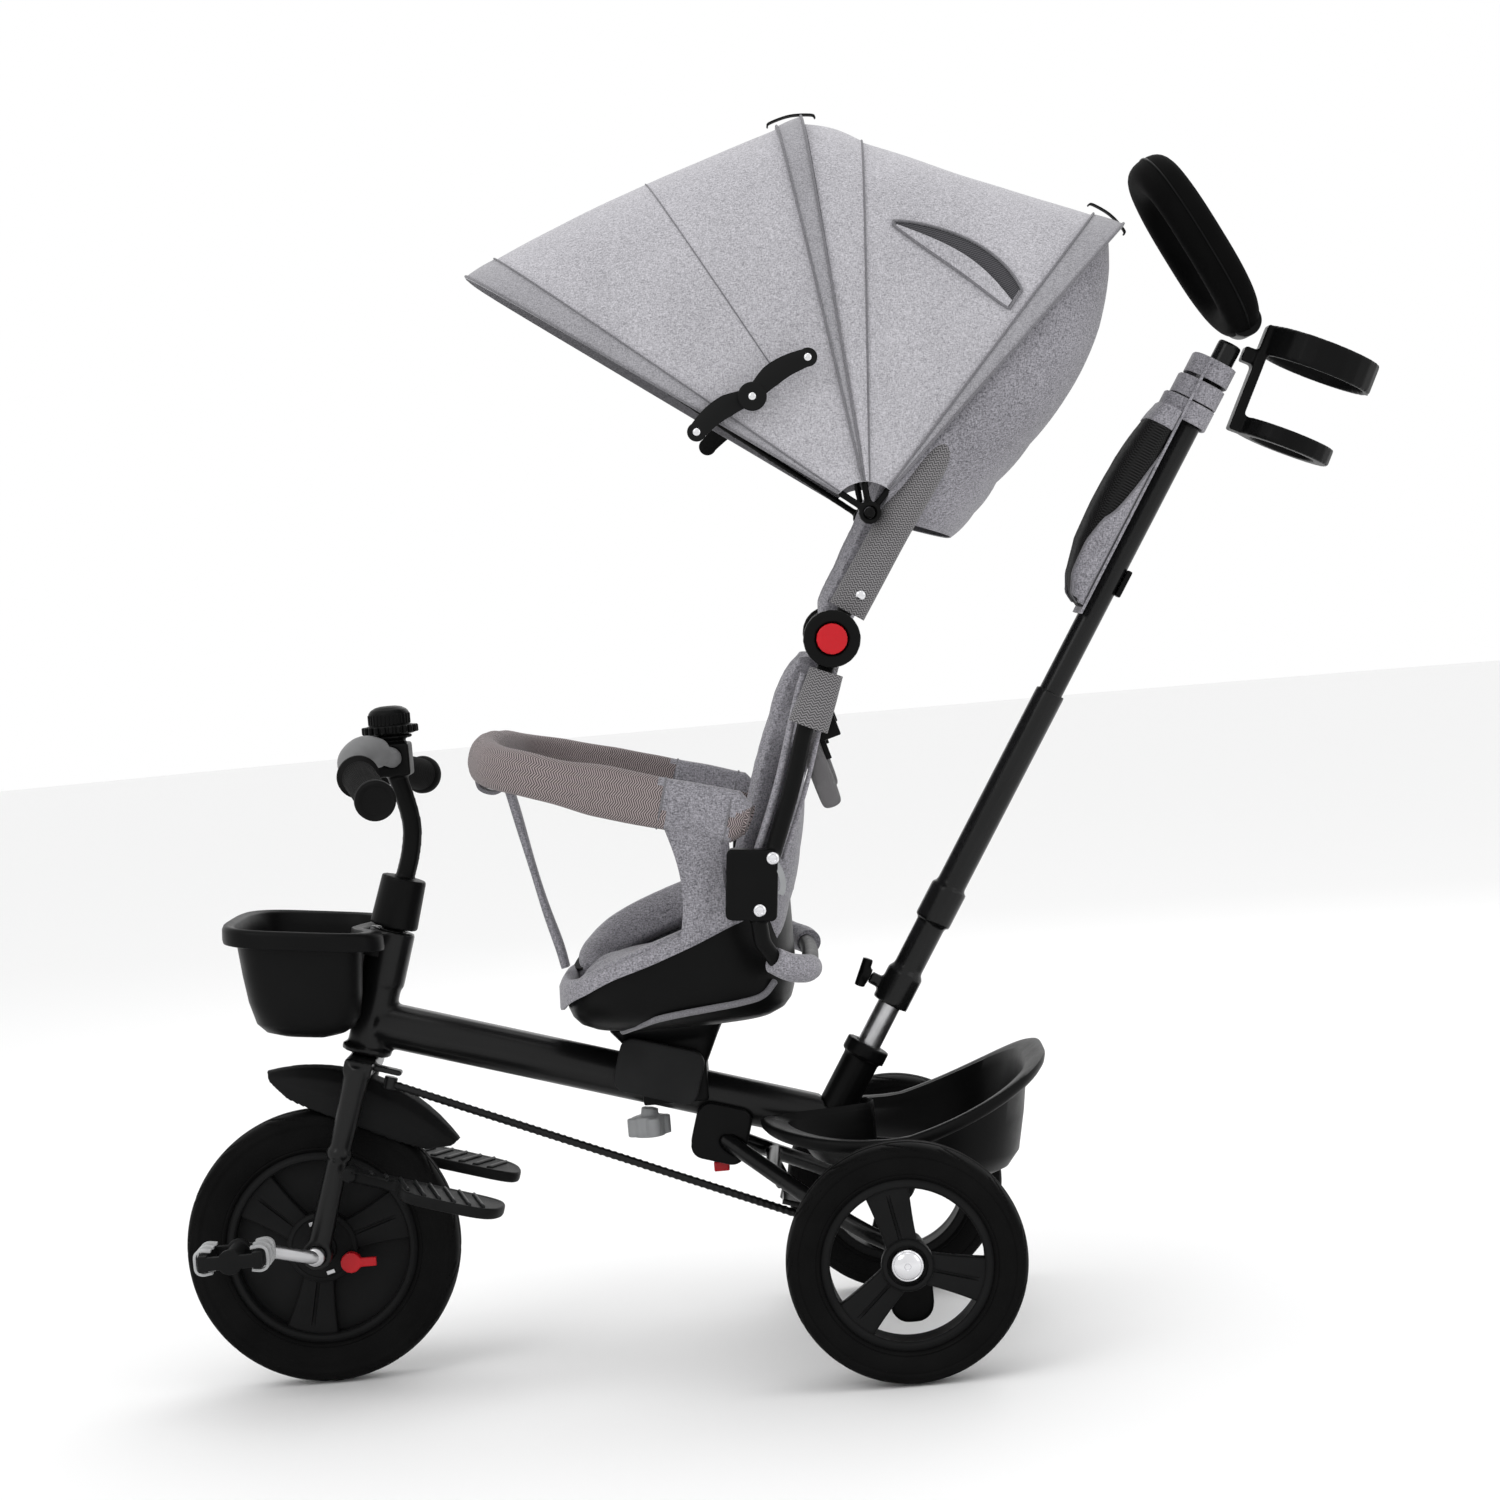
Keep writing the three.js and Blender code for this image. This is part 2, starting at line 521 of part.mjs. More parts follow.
// Footrests fold up beside the fork
const FOOT_PIVOT = [-405, 199];
function footrests() {
  const g = footPlate();
  pair('footrest', g, BLACK);
}
function footPlate() {
  const w = 140;
  const outer = new THREE.Shape([
    new THREE.Vector2(-4, -66), new THREE.Vector2(w - 22, -66), new THREE.Vector2(w - 7, -70),
    new THREE.Vector2(w, -82), new THREE.Vector2(w + 1, -104), new THREE.Vector2(w - 6, -122),
    new THREE.Vector2(w - 24, -132), new THREE.Vector2(66, -134), new THREE.Vector2(54, -130),
    new THREE.Vector2(47, -120), new THREE.Vector2(44, -91), new THREE.Vector2(30, -87),
    new THREE.Vector2(-4, -84),
  ]);
  const g = new THREE.ExtrudeGeometry(outer, { depth: 10, bevelEnabled: false });
  g.translate(0, 0, -5);
  g.rotateY(rad(17));
  g.translate(FOOT_PIVOT[0], 0, FOOT_PIVOT[1]);
  return solid(g);
}

// Seat
function seat() {
  const rim = (x) => 347 + Math.max(0, x + 200) * 0.36;
  const bowl = tub([
    { x: -100, a: 60, b: 60, z: () => 303.5 },
    { x: -98, a: 88, b: 100, z: (x) => 309 },
    { x: -98, a: 101, b: 128, z: (x) => 322 + Math.max(0, x + 150) * 0.05 },
    { x: -98, a: 105, b: 138, z: (x) => 0.5 * (322 + rim(x)) },
    { x: -98, a: 104, b: 141, z: rim },
  ], 3, 3, 28);
  piece('seat_shell', bowl, BLACK);
  piece('seat_pad', loft([
    outline(-100, 80, 92, 3, () => 324, 24), outline(-99, 92, 112, 3, () => 336, 24),
    outline(-99, 95, 118, 3, () => 350, 24), outline(-99, 84, 106, 3, () => 361, 24),
  ]), GREY);

  const side = [v(HUB[0], -FRAME_HALF, HUB[1] - 12), v(41, -FRAME_HALF, 588), v(18, -FRAME_HALF, 516),
    v(-8, -FRAME_HALF, 448), v(-22, -FRAME_HALF, 404), v(-12, -FRAME_HALF + 6, 366), v(14, -122, 354), v(19, -60, 352)];
  const pts = [...side, v(20, 0, 352), ...side.slice().reverse().map((p) => v(p.x, -p.y, p.z))];
  let lower = bent(pts, 8, 34, 4);
  lower = lower.add(both(plate(v(-24, -FRAME_HALF, 434), 45, 62, 5, 24, 6)
    .add(across(HUB[0], HUB[1], -176, -162, 25, 20))
    .add(across(HUB[0], HUB[1], -170, -136, 9, 12))
    .subtract(across(HUB[0], HUB[1], -190, -168.5, 14, 16))));
  piece('back_frame_lower', lower, BLACK);
  const button = across(HUB[0], HUB[1], -180, -173, 13.5, 16);
  pair('recline_button', button, RED);

  const half = UPPER_HALF;
  const upperSide = [v(HUB[0], -half, HUB[1] + 4), v(98, -half, 692), v(128, -half, 737),
    v(154, -half + 2, 776), v(172, -114, 803), v(178, -60, 811)];
  const up = [...upperSide, v(179, 0, 812), ...upperSide.slice().reverse().map((p) => v(p.x, -p.y, p.z))];
  let upper = bent(up, 7.5, 24, 4)
    .add(both(across(HUB[0], HUB[1], -149.6, -134, 22, 16)))
    .subtract(both(across(HUB[0], HUB[1], -190, -130, 9.5, 12)));
  for (const s of [-1, 1]) {
    upper = upper.add(across(HOOD[0], HOOD[1], s * 174, s * half, 5, 12));
    upper = upper.add(rod(v(HOOD[0] - 4, s * half, HOOD[1] + 1), v(128, s * half, 737), 5, 10));
  }
  piece('back_frame_upper', upper, PAINT);
  piece('back_pad_lower', backSlab(-14, 386, 34, 612, 118, 20, 24, 7), GREY);
  piece('back_pad_upper', backSlab(48, 656, 146, 800, 128, 22, 6), GREY);
}

// A padded slab from (x0, z0) up to (x1, z1), lying in front of the side tubes
function backSlab(x0, z0, x1, z1, half, thick, bow, sway = 0) {
  const dir = v(x1 - x0, 0, z1 - z0).normalize();
  const normal = v(-dir.z, 0, dir.x);
  const rings = [];
  const n = 7;
  for (let i = 0; i <= n; i++) {
    const u = i / n;
    const taper = Math.min(1, 0.5 + 3 * Math.min(u, 1 - u));
    const c = v(x0, 0, z0).lerp(v(x1, 0, z1), u);
    const ring = [];
    for (let k = 0; k < 16; k++) {
      const t = (2 * Math.PI * k) / 16;
      const y = half * (0.82 + 0.18 * taper) * Math.sign(Math.cos(t)) * Math.abs(Math.cos(t)) ** 0.4;
      const h = 0.5 * thick * taper * Math.sign(Math.sin(t)) * Math.abs(Math.sin(t)) ** 0.6;
      const lift = bow * (y / half) ** 2 + sway * Math.sin(Math.PI * u);
      ring.push(c.clone().addScaledVector(normal, h + lift).add(v(0, y, 0)));
    }
    rings.push(ring);
  }
  return loft(rings);
}

const BAR_PIVOT = [-26, 497];
function safetyBar() {
  const half = [v(-31, -150, 492), v(-80, -150, 506), v(-150, -151, 526), v(-205, -146, 543), v(-243, -116, 554), v(-255, -60, 558)];
  const pts = [...half, v(-257, 0, 559), ...half.slice().reverse().map((p) => v(p.x, -p.y, p.z))];
  piece('safety_bar', bent(pts, 20, 28, 5), GREY);
  const strap = [v(-246, -6, 533), v(-200, -6, 370)];
  const dir = strap[1].clone().sub(strap[0]).normalize();
  const c = strap[0].clone().add(strap[1]).multiplyScalar(0.5);
  const g = new THREE.BoxGeometry(4, 25, strap[0].distanceTo(strap[1]) - 4);
  g.applyQuaternion(turned(v(0, 0, -1), dir));
  g.translate(c.x, 0, c.z);
  piece('crotch_strap', solid(g), GREY);
}

// Hood: three hoops on one pivot line and two fabric panels
function hoodPoint(deg, t, radius, half, lift = 0) {
  const c = Math.cos(t);
  const s = Math.sin(t);
  const y = (half + lift) * Math.sign(c) * Math.abs(c) ** 0.62;
  const r = (radius + lift) * Math.abs(s) ** 0.62;
  return v(HOOD[0] + r * Math.cos(rad(deg)), -y, HOOD[1] + r * Math.sin(rad(deg)));
}
function hoop(b) {
  const pts = [];
  const n = 28;
  for (let i = 0; i <= n; i++) {
    const t = Math.PI * (0.004 + 0.992 * (i / n));
    pts.push(hoodPoint(b.deg, t, b.r, b.y));
  }
  const foot = rod(v(HOOD[0], -b.y, HOOD[1]).lerp(pts[0], 0.25), pts[0].clone().lerp(pts[1], 0.1), 3.4, 6);
  return bent(pts, 3.4, 20, 2).add(both(foot.add(across(HOOD[0], HOOD[1], -b.y - 3.4, -b.y + 3.4, 10, 12))))
    .subtract(across(HOOD[0], HOOD[1], -200, 200, 5.4, 12));
}
function panel(from, to, rows, sag) {
  const cut = 0.012;
  const cols = 16;
  const grid = (lift) => {
    const out = [];
    for (const k of rows) {
      const row = [];
      for (let j = 0; j <= cols; j++) {
        const t = Math.PI * (cut + (1 - 2 * cut) * (j / cols));
        const dip = 5 * sag * Math.max(0, (k - 0.05) * (0.95 - k));
        row.push(hoodPoint(from.deg + (to.deg - from.deg) * k, t, from.r + (to.r - from.r) * k - dip,
          Math.max(from.y, to.y) + 3, lift));
      }
      out.push(row);
    }
    return out;
  };
  return shell(grid(9), grid(6.5));
}
// Folding stays: an arm on each hoop, meeting at a pin
const STAY = { front: [-37, 826], pin: [13, 852], rear: [63, 881], y: 176 };
function stayArm(a, b, y, disc) {
  const d = v(b[0] - a[0], 0, b[1] - a[1]);
  const c = v((a[0] + b[0]) / 2, -y, (a[1] + b[1]) / 2);
  const deg = -THREE.MathUtils.radToDeg(Math.atan2(d.z, d.x));
  let arm = block(c, d.length(), 2.6, 14, deg);
  arm = arm.add(across(a[0], a[1], -y - 1.3, -y + 1.3, 8, 14)).add(across(b[0], b[1], -y - 1.3, -y + 1.3, disc, 14));
  return arm;
}
function hood() {
  piece('hood_bow_rear', hoop(BOW.rear), BLACK);
  piece('hood_bow_mid', hoop(BOW.mid), BLACK);
  piece('hood_bow_front', hoop(BOW.front), BLACK);
  piece('hood_panel_rear', panel(BOW.rear, BOW.mid, [-0.05, 0.05, 0.25, 0.5, 0.75, 0.94], 38), GREY);
  piece('hood_panel_front', panel(BOW.mid, BOW.front, [0.06, 0.25, 0.5, 0.75, 0.95, 1.02], 30), GREY);
  const low = STAY.y + 6;
  pair('stay_arm_front', stayArm(STAY.front, STAY.pin, low, 12), BLACK);
  pair('stay_arm_mid', stayArm(STAY.rear, STAY.pin, low + 3, 12), BLACK);
}

// Push handle
function pushHandle() {
  piece('handle_post', rod(onHandle(-60), onHandle(84), 11, 16), STEEL);
  let mid = spin(onHandle(0), handleDir, [[0, 92], [11.4, 92], [11.4, 56], [17, 56], [17, 88], [13.7, 92],
    [13.7, 140], [17, 141], [17, 175], [13.7, 177], [13.7, 376], [11.7, 376], [11.7, 179], [0, 179]], 18);
  mid = mid.add(rod(onHandle(70, 0, -15), onHandle(70, 0, -27), 6, 10));
  piece('handle_mid_tube', mid, PAINT);
  let wing = rod(onHandle(70, 0, -27 - GAP), onHandle(70, 0, -36), 7, 12);
  wing = wing.add(rod(onHandle(58, 0, -32), onHandle(84, 0, -36), 5, 12));
  piece('clamp_knob', wing, BLACK);
  piece('handle_upper_tube', rod(onHandle(256), onHandle(728), 11.3, 14), PAINT);

  const e = v(-0.4527, 0, 0.8916);
  const centre = v(419, 0, 960);
  const ring = [];
  for (let i = 0; i <= 28; i++) {
    const t = (2 * Math.PI * i) / 28;
    const c = Math.cos(t);
    const s = Math.sin(t);
    ring.push(centre.clone().addScaledVector(e, 74 * Math.sign(s) * Math.abs(s) ** 0.75)
      .add(v(0, 72 * Math.sign(c) * Math.abs(c) ** 0.75, 0)));
  }
  const section = [];
  for (let i = 0; i < 28; i++) {
    const p = ring[i];
    const out = p.clone().sub(centre).normalize();
    const side = v(0, 1, 0).cross(e).normalize();
    const loop = [];
    for (let k = 0; k < 10; k++) {
      const a = (2 * Math.PI * k) / 10;
      loop.push(p.clone().addScaledVector(out, 17 * Math.cos(a)).addScaledVector(side, 18 * Math.sin(a)));
    }
    section.push(loop);
  }
  let loopHandle = torus(section);
  const hinge = v(454, 0, 892);
  loopHandle = loopHandle.add(across(hinge.x + 3, hinge.z - 3, -26, 26, 15, 16));
  piece('loop_handle', loopHandle, BLACK);
  cupHolder();
  pouch();
}
function torus(section) {
  const n = section.length;
  const k = section[0].length;
  const pos = [];
  const tri = [];
  section.forEach((ring) => ring.forEach((p) => pos.push(p.x, p.y, p.z)));
  for (let i = 0; i < n; i++) {
    for (let j = 0; j < k; j++) {
      const a = i * k + j;
      const b = i * k + (j + 1) % k;
      const c = ((i + 1) % n) * k + j;
      const d = ((i + 1) % n) * k + (j + 1) % k;
      tri.push(a, b, d, a, d, c);
    }
  }
  return closed(pos, tri);
}
function cupHolder() {
  const up = v(0.4396, 0, 0.8982);
  const out = v(0.8982, 0, -0.4396);
  const at = (h, o) => v(524, 0, 848).addScaledVector(up, h).addScaledVector(out, o);
  const beam = (h, o, tall, deep, wide) => {
    const g = new THREE.BoxGeometry(deep, wide, tall);
    g.applyQuaternion(turned(v(0, 0, 1), up));
    const c = at(h, o);
    g.translate(c.x, c.y, c.z);
    return solid(g);
  };
  const ring = rod(at(-14, 0), at(14, 0), 52, 24).subtract(rod(at(-20, 0), at(20, 0), 46, 24));
  const tray = rod(at(-87, -3), at(-71, -3), 44, 24).subtract(rod(at(-90, -3), at(-60, -3), 30, 24));
  const spine = beam(-37, -51.5, 100, 9, 30).add(beam(-19, -61, 14, 14, 24)).add(beam(-79, -46, 14, 12, 28));
  piece('cup_holder', ring.add(tray).add(spine), BLACK);
}
function pouch() {
  const rings = [];
  for (const [t, near, far] of [[456, -30, -12.5], [462, -40, -12], [560, -52, -12], [650, -40, -12], [672, -26, -12.5]]) {
    const ring = [];
    for (let k = 0; k < 20; k++) {
      const a = (2 * Math.PI * k) / 20;
      const mid = (near + far) / 2;
      ring.push(onHandle(t, 44 * Math.sign(Math.cos(a)) * Math.abs(Math.cos(a)) ** 0.4,
        mid + 0.5 * (far - near) * Math.sign(Math.sin(a)) * Math.abs(Math.sin(a)) ** 0.5));
    }
    rings.push(ring);
  }
  piece('handle_pouch', loft(rings), GREY);
}

frontWheel();
pedals();
rearWheels();
frame();
rearFrame();
baskets();
steering();
linkage();
mudguard();
footrests();
seat();
safetyBar();
hood();
pushHandle();

// Stand the tricycle on Z = 0 with the middle of its box over the origin
const box = new THREE.Box3();
tricycle.children.forEach((m) => {
  m.geometry.computeBoundingBox();
  box.union(m.geometry.boundingBox);
});
const centre = box.getCenter(v(0, 0, 0));
tricycle.children.forEach((m) => m.geometry.translate(-centre.x, -centre.y, -box.min.z));

export default tricycle;
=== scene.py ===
"""Looks of the children's tricycle: fabrics, plastics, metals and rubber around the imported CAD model."""
import json
import math

import bmesh
import bpy
import numpy as np
from mathutils import Matrix, Vector, noise

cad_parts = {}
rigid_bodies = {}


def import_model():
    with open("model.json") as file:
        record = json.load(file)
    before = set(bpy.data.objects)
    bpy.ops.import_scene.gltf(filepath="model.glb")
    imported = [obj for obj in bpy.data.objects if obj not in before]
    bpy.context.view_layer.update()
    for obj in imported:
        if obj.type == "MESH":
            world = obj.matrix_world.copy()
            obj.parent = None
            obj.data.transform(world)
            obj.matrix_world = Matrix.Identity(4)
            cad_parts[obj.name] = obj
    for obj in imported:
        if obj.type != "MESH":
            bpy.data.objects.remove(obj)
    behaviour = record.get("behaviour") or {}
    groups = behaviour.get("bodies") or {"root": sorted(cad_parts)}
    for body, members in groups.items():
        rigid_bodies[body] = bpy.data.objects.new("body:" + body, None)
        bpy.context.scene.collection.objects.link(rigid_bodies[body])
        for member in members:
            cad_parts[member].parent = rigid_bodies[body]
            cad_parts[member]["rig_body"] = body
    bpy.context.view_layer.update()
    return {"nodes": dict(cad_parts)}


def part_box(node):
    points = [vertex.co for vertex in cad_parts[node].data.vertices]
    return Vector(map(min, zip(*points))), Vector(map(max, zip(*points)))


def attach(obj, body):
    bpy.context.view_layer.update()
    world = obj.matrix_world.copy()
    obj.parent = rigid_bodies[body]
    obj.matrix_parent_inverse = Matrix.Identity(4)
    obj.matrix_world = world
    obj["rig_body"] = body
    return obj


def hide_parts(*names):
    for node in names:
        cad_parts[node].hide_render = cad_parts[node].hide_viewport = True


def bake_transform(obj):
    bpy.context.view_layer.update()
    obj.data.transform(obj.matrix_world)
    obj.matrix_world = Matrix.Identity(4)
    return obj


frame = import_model()
NODES = frame["nodes"]
# Dimensions below are in millimetres with X counted from a point this far from the frame's origin.
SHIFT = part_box("front_tyre")[0].x * 1000 + 571.0


def V(x, y, z):
    """A point given in millimetres, in the frame's metres."""
    return Vector(((x + SHIFT) / 1000, y / 1000, z / 1000))


def rad(deg):
    return math.radians(deg)


STEER = Vector((math.sin(rad(17.5)), 0, math.cos(rad(17.5))))
HANDLE = Vector((math.sin(rad(32.1)), 0, math.cos(rad(32.1))))
AXLE = V(-446, 0, 125)
REAR = V(81, 0, 104)
HOOD = V(105, 0, 745)


def on_steer(s, y=0.0, across=0.0):
    return AXLE + STEER * (s / 1000) + Vector((STEER.z, 0, -STEER.x)) * (across / 1000) + Vector((0, y / 1000,
            0))


def on_handle(s, y=0.0, across=0.0):
    return V(58.2, y, 253.5) + HANDLE * (s / 1000) + Vector((HANDLE.z, 0, -HANDLE.x)) * (across / 1000)


# ---------------------------------------------------------------- camera, light and floor
def make_stage():
    target = V(-18.5, 0, 542.5)
    place = V(40, -3250, 700)
    cam = bpy.data.objects.new("camera", bpy.data.cameras.new("camera"))
    bpy.context.scene.collection.objects.link(cam)
    view = (target - place).normalized()
    right = view.cross(Vector((0, 0, 1))).normalized()
    up = right.cross(view)
    roll = rad(5)
    turned_up = up * math.cos(roll) + right * math.sin(roll)
    turned_right = right * math.cos(roll) - up * math.sin(roll)
    cam.matrix_world = Matrix((
        (turned_right.x, turned_up.x, -view.x, place.x),
        (turned_right.y, turned_up.y, -view.y, place.y),
        (turned_right.z, turned_up.z, -view.z, place.z),
        (0, 0, 0, 1)))
    cam.data.sensor_width = 36
    cam.data.lens = 86.0
    cam.data.clip_end = 60
    bpy.context.scene.camera = cam

    world = bpy.data.worlds.new("studio")
    world.use_nodes = True
    world.node_tree.nodes["Background"].inputs[0].default_value = (1.0, 1.0, 1.0, 1)
    world.node_tree.nodes["Background"].inputs[1].default_value = 1.0
    bpy.context.scene.world = world
    bpy.context.scene.view_settings.view_transform = "Standard"

    def area(name, at, look, size, power):
        light = bpy.data.lights.new(name, "AREA")
        light.shape = "RECTANGLE"
        light.size, light.size_y = size
        light.energy = power
        o = bpy.data.objects.new(name, light)
        bpy.context.scene.collection.objects.link(o)
        o.location = at
        o.rotation_euler = (Vector(look) - Vector(at)).to_track_quat("-Z", "Y").to_euler()
    area("key", (-1.8, -2.4, 2.6), (0, 0, 0.55), (1.6, 1.6), 17)
    area("top", (0.3, 0.2, 3.2), (0, 0, 0.5), (2.4, 2.0), 16)
    area("fill", (2.6, -1.4, 1.6), (0, 0, 0.6), (1.2, 1.8), 5)
    area("back", (0.6, 2.8, 2.0), (0, 0, 0.6), (2.0, 1.4), 12)

    bm = bmesh.new()
    n = 64
    ring = [bm.verts.new((14 * math.cos(2 * math.pi * i / n), 14 * math.sin(2 * math.pi * i / n), -0.0006))
            for i in range(n)]
    bm.faces.new(ring)
    mesh = bpy.data.meshes.new("floor")
    bm.to_mesh(mesh)
    floor = bpy.data.objects.new("floor", mesh)
    bpy.context.scene.collection.objects.link(floor)
    m = bpy.data.materials.new("floor_paint")
    m.use_nodes = True
    b = m.node_tree.nodes["Principled BSDF"]
    b.inputs["Base Color"].default_value = (0.9, 0.9, 0.9, 1)
    b.inputs["Roughness"].default_value = 0.7
    mesh.materials.append(m)


make_stage()

# ---------------------------------------------------------------- materials
class Mat:
    """A principled material with a few helpers for procedural detail."""

    def __init__(self, name, roughness=0.5, metallic=0.0, specular=0.5):
        self.m = bpy.data.materials.new(name)
        self.m.use_nodes = True
        self.t = self.m.node_tree
        self.b = self.t.nodes["Principled BSDF"]
        self.b.inputs["Roughness"].default_value = roughness
        self.b.inputs["Metallic"].default_value = metallic
        self.b.inputs["Specular IOR Level"].default_value = specular * 0.3

    def node(self, kind, **values):
        n = self.t.nodes.new("ShaderNode" + kind)
        for k, v in values.items():
            if k in n.inputs.keys():
                n.inputs[k].default_value = v
            else:
                setattr(n, k, v)
        return n

    def link(self, a, b):
        self.t.links.new(a, b)

    def coords(self, scale=(1, 1, 1)):
        c = self.node("TexCoord")
        mp = self.node("Mapping")
        mp.inputs["Scale"].default_value = scale
        self.link(c.outputs["Object"], mp.inputs["Vector"])
        return mp.outputs["Vector"]

    def noise(self, vector, scale, detail=2.0, roughness=0.5):
        n = self.node("TexNoise", Scale=scale, Detail=detail, Roughness=roughness)
        self.link(vector, n.inputs["Vector"])
        return n.outputs["Fac"]

    def math(self, op, a, b=None, c=None):
        n = self.node("Math", operation=op)
        for i, x in enumerate((a, b, c)):
            if x is None:
                continue
            if isinstance(x, (int, float)):
                n.inputs[i].default_value = x
            else:
                self.link(x, n.inputs[i])
        return n.outputs[0]

    def ramp(self, fac, *stops):
        n = self.node("ValToRGB")
        while len(n.color_ramp.elements) < len(stops):
            n.color_ramp.elements.new(0.5)
        for e, (pos, col) in zip(n.color_ramp.elements, stops):
            e.position = pos
            e.color = (*col, 1) if len(col) == 3 else col
        self.link(fac, n.inputs["Fac"])
        return n.outputs["Color"]

    def bump(self, height, strength, distance):
        n = self.node("Bump", Strength=strength, Distance=distance)
        self.link(height, n.inputs["Height"])
        return n.outputs["Normal"]

    def colour(self, out):
        self.link(out, self.b.inputs["Base Color"])

    def normal(self, out):
        self.link(out, self.b.inputs["Normal"])


def grey(v, warm=0.0):
    return (v * (1 + warm), v, v * (1 - warm))


def plastic(name, base, roughness=0.42, grain=0.25, specular=0.28, coat=0.0):
    """Moulded plastic: fine spark-eroded grain and slight variation in tone."""
    m = Mat(name, roughness, specular=specular)
    at = m.coords()
    tone = m.noise(at, 18, 3)
    m.colour(m.ramp(tone, (0.3, tuple(0.82 * c for c in base)), (0.7, tuple(1.2 * c for c in base))))
    fine = m.noise(at, 1900, 2)
    m.normal(m.bump(fine, grain, 0.00025))
    rough = m.node("MapRange")
    m.link(m.noise(at, 55, 2), rough.inputs["Value"])
    rough.inputs["To Min"].default_value = roughness - 0.07
    rough.inputs["To Max"].default_value = roughness + 0.07
    m.link(rough.outputs["Result"], m.b.inputs["Roughness"])
    m.b.inputs["Coat Weight"].default_value = coat
    return m.m


def paint(name, base, roughness=0.3):
    """Powder-coated steel: satin with a light orange-peel."""
    m = Mat(name, roughness, specular=0.55)
    at = m.coords()
    m.colour(m.ramp(m.noise(at, 12, 2), (0.3, tuple(0.8 * c for c in base)),
            (0.7, tuple(1.25 * c for c in base))))
    m.normal(m.bump(m.noise(at, 700, 2), 0.12, 0.0004))
    m.b.inputs["Coat Weight"].default_value = 0.12
    m.b.inputs["Coat Roughness"].default_value = 0.22
    return m.m


def metal(name, base, roughness=0.16):
    m = Mat(name, roughness, metallic=1.0)
    at = m.coords()
    m.colour(m.ramp(m.noise(at, 30, 3), (0.3, tuple(0.85 * c for c in base)), (0.7, base)))
    rough = m.node("MapRange")
    m.link(m.noise(at, 160, 3), rough.inputs["Value"])
    rough.inputs["To Min"].default_value = roughness * 0.6
    rough.inputs["To Max"].default_value = roughness * 1.7
    m.link(rough.outputs["Result"], m.b.inputs["Roughness"])
    m.normal(m.bump(m.noise(at, 320, 2), 0.05, 0.0003))
    return m.m


def rubber(name, base, roughness=0.62, scale=900, depth=0.35):
    m = Mat(name, roughness, specular=0.15)
    at = m.coords()
    m.colour(m.ramp(m.noise(at, 26, 4), (0.3, tuple(0.75 * c for c in base)),
            (0.75, tuple(1.35 * c for c in base))))
    m.normal(m.bump(m.noise(at, scale, 3), depth, 0.0004))
    return m.m


def melange(name, dark, light, fine=760, streak=(300, 300, 1500), weave=0.35, sheen=0.25):
    """Heathered woven polyester: light and dark yarns mixed, a fine plain weave on top."""
    m = Mat(name, 0.88, specular=0.2)
    at = m.coords()
    yarn = m.noise(at, fine, 3, 0.6)
    runs = m.noise(m.coords(streak), 1.0, 2, 0.6)
    cross = m.noise(m.coords((streak[2] * 0.8, streak[2] * 0.8, streak[0] * 0.8)), 1.0, 2, 0.6)
    patch = m.noise(at, 9, 3)
    total = m.math("ADD", m.math("MULTIPLY", yarn, 0.38), m.math("MULTIPLY", runs, 0.30))
    total = m.math("ADD", total, m.math("MULTIPLY", cross, 0.22))
    total = m.math("ADD", total, m.math("MULTIPLY", patch, 0.10))
    m.colour(m.ramp(total, (0.40, dark), (0.60, light)))
    height = m.math("ADD", yarn, m.math("ADD", runs, cross))
    m.normal(m.bump(height, weave, 0.0005))
    m.b.inputs["Sheen Weight"].default_value = sheen
    m.b.inputs["Sheen Roughness"].default_value = 0.5
    return m.m


def herringbone(name, dark, light, pitch=0.0021, rows=0.0062):
    """Knitted mesh with slanting ribs that change direction row by row; u and v are metres along the cloth."""
    m = Mat(name, 0.86, specular=0.2)
    c = m.node("TexCoord")
    sep = m.node("SeparateXYZ")
    m.link(c.outputs["UV"], sep.inputs["Vector"])
    u, v = sep.outputs["X"], sep.outputs["Y"]
    saw = m.math("ABSOLUTE", m.math("SUBTRACT", m.math("FRACT", m.math("MULTIPLY", v, 1 / rows)), 0.5))
    phase = m.math("ADD", m.math("MULTIPLY", u, 1 / pitch),
            m.math("MULTIPLY", saw, 2.0 * rows / 2 / pitch * 0.9))
    rib = m.math("ABSOLUTE", m.math("SUBTRACT", m.math("FRACT", phase), 0.5))
    rib = m.math("MULTIPLY", rib, 2.0)
    speck = m.noise(m.coords(), 900, 2)
    mixed = m.math("ADD", m.math("MULTIPLY", rib, 0.75), m.math("MULTIPLY", speck, 0.35))
    m.colour(m.ramp(mixed, (0.30, dark), (0.80, light)))
    m.normal(m.bump(mixed, 0.6, 0.0007))
    m.b.inputs["Sheen Weight"].default_value = 0.2
    return m.m


def net(name, dark, light, cell=0.0026):
    """Open black mesh: round holes in staggered rows over a darker lining; u and v in metres."""
    m = Mat(name, 0.7, specular=0.3)
    c = m.node("TexCoord")
    sep = m.node("SeparateXYZ")
    m.link(c.outputs["UV"], sep.inputs["Vector"])
    u = m.math("MULTIPLY", sep.outputs["X"], 2 * math.pi / cell)
    v = m.math("MULTIPLY", sep.outputs["Y"], 2 * math.pi / cell)
    wave = m.math("MULTIPLY", m.math("SINE", u), m.math("SINE", v))
    m.colour(m.ramp(m.math("MULTIPLY_ADD", wave, 0.5, 0.5), (0.25, dark), (0.75, light)))
    m.normal(m.bump(wave, 0.5, 0.0006))
    return m.m


